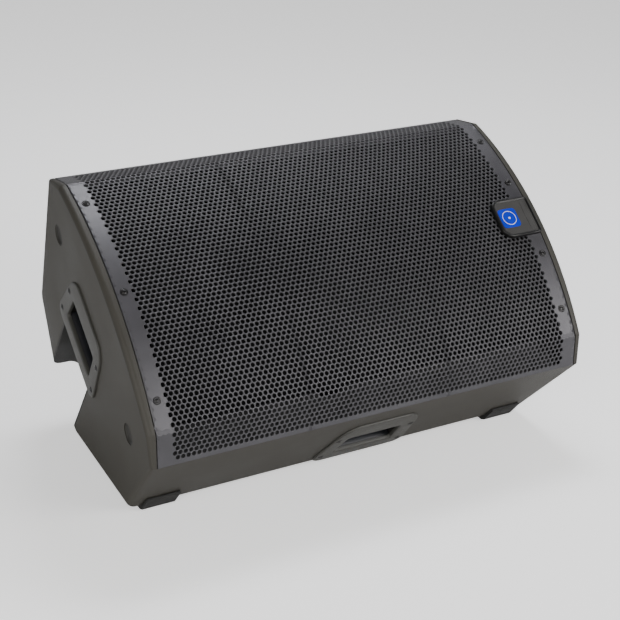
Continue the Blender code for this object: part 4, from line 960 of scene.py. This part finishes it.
TRAY_DEEP = 0.018
TRAY_WALL = 0.002
RIM_LONG, RIM_WIDE = 0.2200, 0.0500
HOLE_EDGE = ((0.0005, 0.004, -TRAY_DEEP - TRAY_WALL), (0.0005, 0.004, 0.0003))
RIM_EDGE = ((0.0, 0.008, 0.0003), (0.0, 0.008, 0.0015), (0.0003, 0.0078, 0.0020), (0.0008, 0.0074, TRAY_TOP))
BOWL_EDGE = ((0.0017, 0.0040, TRAY_TOP), (0.0023, 0.0036, 0.0017), (0.0025, 0.0035, 0.0010),
             (0.0025, 0.0035, 0.0010 - TRAY_DEEP), (0.0028, 0.0032, 0.0003 - TRAY_DEEP),
             (0.0035, 0.0026, -TRAY_DEEP))
RIM_SCREW = (0.0029, 0.0012)
RIM_SCREW_X = (-0.190, -0.095, 0.0, 0.095, 0.190)
RIM_SCREWS = [(x, y) for y in (-0.0464, 0.0464) for x in RIM_SCREW_X] + [(-0.2163, 0.0), (0.2163, 0.0)]
SMOOTH_UNDER = 40.0


def squircle(half_x, half_y, power, count=96):
    """A rounded rectangle: its reach at a turn t is the inverse p-norm of cos t / half_x, sin t / half_y."""
    t = (np.arange(count) + 0.5) * math.tau / count
    reach = (np.abs(np.cos(t) / half_x) ** power + np.abs(np.sin(t) / half_y) ** power) ** (-1 / power)
    return np.stack((reach * np.cos(t), reach * np.sin(t)), -1)


def even_circle(radius, count=96):
    """A circle whose points lie at the same turns as a rounded rectangle's."""
    return squircle(radius, radius, 2, count)


def joined(name, meshes):
    """One mesh of several closed surfaces."""
    bm = bmesh.new()
    for mesh in meshes:
        bm.from_mesh(mesh)
    made = bpy.data.meshes.new(name)
    bm.to_mesh(made)
    bm.free()
    return made


def on_tray(node, lift=0.0):
    """The place on the tray's floor under the middle of a node, with a lift out of it."""
    return seat_on(node, rear_axes, tray_origin @ rear_out - TRAY_DEEP + lift)


def tray_block(node, levels, looped=False):
    """A closed surface through (outline, height) pairs, seated on the tray's floor under a node."""
    return block(levels, on_tray(node), rear_axes, looped)


def smooth_rectangle(half_x, half_y, radius, steps=6):
    """A rectangle with quarter-circle corners, as points that go round it once."""
    t = np.linspace(0, QUARTER, steps + 1)
    arc = radius * np.stack((np.cos(t), np.sin(t)), -1)
    parts = []
    for turn in range(4):
        c, s = round(math.cos(turn * QUARTER)), round(math.sin(turn * QUARTER))
        corner = np.array((half_x - radius, half_y - radius)) * ((1, 1), (-1, 1), (-1, -1), (1, -1))[turn]
        parts.append(corner + arc @ np.array(((c, s), (-s, c))))
    return np.concatenate(parts)


tray_steel = finish("powder-coated tray", (0.016, 0.016, 0.0165), (0.026, 0.026, 0.0265), (0.42, 0.58),
                    (1700.0, 0.00018), metal=0.25, clouds=14.0)
fin_alloy = finish("anodised fins", (0.012, 0.012, 0.013), (0.022, 0.022, 0.024), (0.32, 0.46),
                   (2200.0, 0.00005), metal=0.7, clouds=30.0)
levels = []
for half_x, half_y, edge in ((TRAY_LONG, TRAY_WIDE, HOLE_EDGE), (RIM_LONG, RIM_WIDE, RIM_EDGE),
                             (TRAY_LONG, TRAY_WIDE, BOWL_EDGE)):
    levels += [(smooth_rectangle(half_x - inset, half_y - inset, radius), z) for inset, radius, z in edge]
knob_nodes = [f"level_knob_{i}" for i in (1, 2, 3)]
button_nodes = [f"push_button_{i}" for i in (1, 2)]
socket_nodes = ["input_socket_1", "input_socket_2", "link_socket"]
holes = [(node, disc_outline(0.0034, 24)) for node in knob_nodes]
holes += [(node, smooth_rectangle(0.0038, 0.0038, 0.0012)) for node in button_nodes]
holes += [(node, disc_outline(0.0123)) for node in socket_nodes]
holes += [("mains_inlet", smooth_rectangle(0.0108, 0.0143, 0.001))]
holes += [("power_rocker", smooth_rectangle(0.0073, 0.0112, 0.0012))]
punches = [swept(outline, -0.01, 0.01, on_tray(node), rear_axes) for node, outline in holes]
even_shading(shown("amp_tray_pressing", carved(block(levels, tray_origin, rear_axes), punches), tray_steel,
                   ["amp_tray"]))
coated(fin_alloy, "amp_heatsink")
for i, place in enumerate(RIM_SCREWS):
    centre = placed((*place, TRAY_TOP), tray_origin, rear_axes)
    screw(f"tray_screw_{i + 1}", RIM_SCREW, centre, rear_axes, 32)

# Level knobs: black glass-filled nylon, fluted, each with a moulded-in white pointer on its crown and side.
# The profile gives radius, height and the share of the flutes' depth.
FLUTES = 18
FLUTE_DEEP = 0.00055
KNOB_R = 0.0079
KNOB_HIGH = 0.0119
KNOB_PROFILE = ((0.0, -0.0078, 0), (0.0030, -0.0078, 0), (0.0030, 0.0006, 0), (KNOB_R, 0.0006, 0),
                (KNOB_R, 0.0018, 0), (KNOB_R - 0.0003, 0.0021, 0), (KNOB_R - 0.0007, 0.0024, 1),
                (KNOB_R - 0.0013, 0.0098, 1), (KNOB_R - 0.0018, 0.0110, 0.6), (KNOB_R - 0.0026, 0.0117, 0),
                (KNOB_R - 0.0034, KNOB_HIGH, 0), (KNOB_R - 0.0042, 0.0117, 0), (0.0, 0.0114, 0))
knob_turn = np.arange(FLUTES * 8) * math.tau / (FLUTES * 8)
flute = np.abs(np.sin(knob_turn * FLUTES / 2)) ** 3
r, z, share = np.array(KNOB_PROFILE).T
reach = r[:, None] - FLUTE_DEEP * share[:, None] * flute
z = np.repeat(z[:, None], len(flute), 1)
knob_rings = np.stack((reach * np.cos(knob_turn), reach * np.sin(knob_turn), z), -1)
crown_mark = smooth_rectangle(0.0005, 0.0026, 0.0004, 3) - (0, 0.0052)
flank_mark = smooth_rectangle(0.0005, 0.0004, 0.0002, 3)
for node in knob_nodes:
    cap = skin(node, placed(knob_rings, on_tray(node), rear_axes))
    shown(f"{node}_cap", cap, black_plastic, [node], node, SMOOTH_UNDER)
    crown = tray_block(node, [(crown_mark, 0.0108), (crown_mark, 0.01202)])
    flank = tray_block(node, [(flank_mark - (0, 0.0072), 0.0030), (flank_mark - (0, 0.00665), 0.0100)])
    shown(f"{node}_pointer", joined("pointer", [crown, flank]), white_print, body=node)

# Push buttons: satin caps with softened corners and a dished top.
BUTTON_EDGE = ((0.0, -0.0058), (0.0, 0.0070), (0.0001, 0.0075), (0.0004, 0.0079), (0.0009, 0.0080),
               (0.0016, 0.0078), (0.0026, 0.0077))
levels = [(smooth_rectangle(0.0035 - inset, 0.0035 - inset, max(0.0011 - inset, 0.0003)), z)
          for inset, z in BUTTON_EDGE]
for node in button_nodes:
    shown(f"{node}_cap", tray_block(node, levels), black_plastic, [node], node, SMOOTH_UNDER)

# Dial marks, printed white round each knob from -150 to +150 degrees, and a frame round each button.
PRINT_TOP = 0.00006
PRINT_UNDER = -0.0002
marks = []
for node in knob_nodes:
    for turn in np.radians(np.linspace(-150, 150, 11)):
        c, s = math.cos(turn), math.sin(turn)
        tick = (smooth_rectangle(0.00022, 0.0008, 0.0001, 2) - (0, 0.0108)) @ np.array(((c, s), (-s, c)))
        marks.append(tray_block(node, [(tick, PRINT_UNDER), (tick, PRINT_TOP)]))
outer_frame, inner_frame = (smooth_rectangle(half, half, 0.0012) for half in (0.0054, 0.0051))
for node in button_nodes:
    marks.append(tray_block(node, [(outer_frame, PRINT_UNDER), (outer_frame, PRINT_TOP),
                                   (inner_frame, PRINT_TOP), (inner_frame, PRINT_UNDER)], looped=True))
shown("dial_marks", joined("dial_marks", marks), white_print)

# Two indicator lenses beside the buttons, clear-tinted acrylic domes in a black collar.
LENS_R = 0.0016
LENS_PLACES = ((0.002, 0.020, -TRAY_DEEP), (0.014, 0.020, -TRAY_DEEP))
LENS_PROFILE = [(0.0, -0.001), (LENS_R, -0.001)]
LENS_PROFILE += [(LENS_R * math.cos(t), 0.0008 + 0.0012 * math.sin(t)) for t in np.linspace(0, QUARTER, 7)]
COLLAR_PROFILE = ((0.0017, -0.0005), (0.0026, -0.0005), (0.0026, 0.0006), (0.0022, 0.0009), (0.0017, 0.0009))
lens_tints = {"power": (0.03, 0.28, 0.05), "limit": (0.42, 0.03, 0.01)}
for (use, tint), place in zip(lens_tints.items(), LENS_PLACES):
    lens = finish(f"{use} lens", tint, tint, (0.12, 0.2), (900.0, 0.00001), clouds=60.0)
    centre = placed(place, tray_origin, rear_axes)
    shown(f"{use}_lens", spun(LENS_PROFILE, centre, rear_axes, 32), lens)
    shown(f"{use}_collar", spun(COLLAR_PROFILE, centre, rear_axes, 32, looped=True), black_plastic)

# Two combination inputs and one link output: nylon shells with bored barrels, each held by two screws.
# The inputs take a plug in a cored insert with three contacts and a latch; the link shows three pins.
FACE_TOP = 0.0022
SOCKET_SCREW = (0.0017, 0.0007)
BORE_R = 0.0095
PIN_R = 0.0012
PIN_CIRCLE = 0.0043
PIN_PROFILE = [(0.0, -0.0142), (PIN_R, -0.0142)]
PIN_PROFILE += [(PIN_R * math.cos(t), -0.0030 + PIN_R * math.sin(t)) for t in np.linspace(0, QUARTER, 5)]
CORE_PROFILE = ((0.0, -0.0142), (0.0079, -0.0142), (0.0079, -0.0022), (0.0076, -0.0018), (0.0, -0.0018))
contact_silver = finish("silvered contacts", (0.55, 0.54, 0.50), (0.72, 0.71, 0.67), (0.18, 0.3),
                        (3000.0, 0.00001), metal=1.0, clouds=120.0)


def socket_shell(node, barrel, sunk, half_x, half_y, bore, deep):
    """A shell on the tray: its barrel, a bevelled face plate, and a bore with a softened mouth down to its
    floor. bore gives the bore's outline, grown by a length."""
    levels = [(barrel, -sunk), (barrel, 0.0003)]
    levels += [(squircle(half_x - inset, half_y - inset, 12), z)
               for inset, z in ((0.0, 0.0003), (0.0, 0.0016), (0.0003, 0.0020), (0.0008, FACE_TOP))]
    levels += [(bore(grow), z)
               for grow, z in ((0.0005, FACE_TOP), (0.0001, 0.0020), (0.0, 0.0015), (0.0, -deep))]
    shown(f"{node}_shell", tray_block(node, levels), black_plastic, [node])


def face_screws(node, places, size, sides):
    """The screws at some places on the face plate of a socket."""
    for i, place in enumerate(places):
        centre = placed((*place, 0), on_tray(node, FACE_TOP), rear_axes)
        screw(f"{node}_screw_{i + 1}", size, centre, rear_axes, sides)


contacts = [(PIN_CIRCLE * math.sin(t), -PIN_CIRCLE * math.cos(t))
            for t in (0.0, math.pi - 1.0, math.pi + 1.0)]
tab = smooth_rectangle(0.0028, 0.0016, 0.0006, 4) - (0, 0.0126)
for node in socket_nodes:
    socket_shell(node, even_circle(0.0119), 0.024, 0.0130, 0.0155,
                 lambda grow: even_circle(BORE_R + grow), 0.014)
    if node == "link_socket":
        pins = [spun(PIN_PROFILE, placed((*place, 0), on_tray(node), rear_axes), rear_axes, 24)
                for place in contacts]
        shown(f"{node}_pins", joined("pins", pins), contact_silver)
    else:
        bores = [disc_outline(0.0014, 24) + place for place in contacts] + [disc_outline(0.0032, 32)]
        bores = [swept(outline, -0.012, 0.01, on_tray(node), rear_axes) for outline in bores]
        core = carved(spun(CORE_PROFILE, on_tray(node), rear_axes), bores)
        shown(f"{node}_core", core, black_plastic)
        latch = tray_block(node, [(tab, 0.0018), (tab, 0.0031), (tab * (0.85, 1), 0.0034)])
        shown(f"{node}_latch", latch, contact_silver)
    face_screws(node, ((-0.0098, 0.0123), (0.0098, -0.0123)), SOCKET_SCREW, 24)

# Mains inlet: a thermoset shell with three flat blades, held by two countersunk screws.
INLET_SCREW = (0.0026, 0.0009)
BLADES = ((0.0, -0.0055, 0.0020, 0.0010), (-0.0035, 0.0055, 0.0010, 0.0020), (0.0035, 0.0055, 0.0010, 0.0020))
node = "mains_inlet"
socket_shell(node, squircle(0.0104, 0.0139, 14), 0.0238, 0.0140, 0.0245,
             lambda grow: squircle(0.0085 + grow, 0.0120 + grow, 12), 0.015)
blades = []
for x, y, half_x, half_y in BLADES:
    blade = squircle(half_x, half_y, 8, 24) + (x, y)
    tip = squircle(half_x * 0.7, half_y * 0.8, 8, 24) + (x, y)
    blades.append(tray_block(node, [(blade, -0.0152), (blade, -0.0040), (tip, -0.0030)]))
shown("mains_inlet_blades", joined("blades", blades), contact_silver)
face_screws(node, ((0, -0.0200), (0, 0.0200)), INLET_SCREW, 32)

# Mains switch: a rocker with a shallow V face in a black bezel, with the generic on and off marks. Its two
# faces rise from the crest as the power 1.4 of the way to their ends.
ROCKER_HALF_X, ROCKER_HALF_Y = 0.0064, 0.0099
ROCKER_CREST, ROCKER_RISE, ROCKER_POWER = 0.0045, 0.0019, 1.4
ROCKER_TILT = math.radians(-8)
ROCKER_FOOT = ((0.0088, 0.0020), (0.0082, -0.0038), (-0.0082, -0.0038), (-0.0088, 0.0020))
ROCKER_ENDS = ((-1, 0.0006), (-0.975, 0.0002), (-0.93, 0.0), (0.93, 0.0), (0.975, 0.0002), (1, 0.0006))
MARK_PLACE, MARK_SHARE = 0.0058, 0.586
BEZEL_EDGE = ((0.0096, 0.0134, -0.0001), (0.0096, 0.0134, 0.0010), (0.0092, 0.0130, 0.0015),
              (0.0080, 0.0121, 0.0015), (0.0076, 0.0117, 0.0011), (0.0076, 0.0117, -0.0001))


def tipped(axes, angle):
    """Three axes turned by an angle about the first of them."""
    c, s = math.cos(angle), math.sin(angle)
    return np.array(((1, 0, 0), (0, c, s), (0, -s, c))) @ axes


rocker_pivot = np.array(joints["power_rocker_tilt"]["pos_m"])
rocker_axes = tipped(rear_axes, ROCKER_TILT)
t = np.linspace(-1, 1, 25)
crest = np.stack((ROCKER_HALF_Y * t, ROCKER_CREST + ROCKER_RISE * np.abs(t) ** ROCKER_POWER), -1)
rocker_side = np.concatenate((crest, ROCKER_FOOT))
rings = np.stack([np.column_stack((np.full(len(rocker_side), x * ROCKER_HALF_X),
                                   rocker_side * (1 - inset / ROCKER_HALF_Y))) for x, inset in ROCKER_ENDS])
shown("power_rocker_cap", skin("rocker", placed(rings, rocker_pivot, rocker_axes)), black_plastic,
      ["power_rocker"], "power_rocker", SMOOTH_UNDER)
mark_height = ROCKER_CREST + ROCKER_RISE * MARK_SHARE ** ROCKER_POWER + 0.00002
bar = smooth_rectangle(0.0003, 0.0016, 0.0002, 2)
outer_ring, inner_ring = disc_outline(0.0016, 32), disc_outline(0.0011, 32)
rocker_marks = []
for side, levels in ((-1, [(bar, -0.0003), (bar, 0.00008)]),
                     (1, [(outer_ring, -0.0003), (outer_ring, 0.00008), (inner_ring, 0.00008),
                          (inner_ring, -0.0003)])):
    centre = placed((0.0, side * MARK_PLACE, mark_height), rocker_pivot, rocker_axes)
    face_tipped = tipped(rocker_axes, side * math.atan2(ROCKER_RISE, ROCKER_HALF_Y))
    rocker_marks.append(block(levels, centre, face_tipped, looped=side > 0))
shown("power_rocker_marks", joined("rocker_marks", rocker_marks), white_print,
      body="power_rocker")
levels = [(squircle(half_x, half_y, 10), z) for half_x, half_y, z in BEZEL_EDGE]
shown("rocker_bezel", tray_block("power_rocker", levels, looped=True), black_plastic)

# Behind the tray: the amplifier's printed board, and the supply in its bright zinc can.
board_laminate = finish("board laminate", (0.010, 0.070, 0.030), (0.018, 0.120, 0.050), (0.30, 0.48),
                        (2600.0, 0.00006), clouds=120.0)
coated(board_laminate, "amp_board")
coated(bright_zinc, "power_supply")
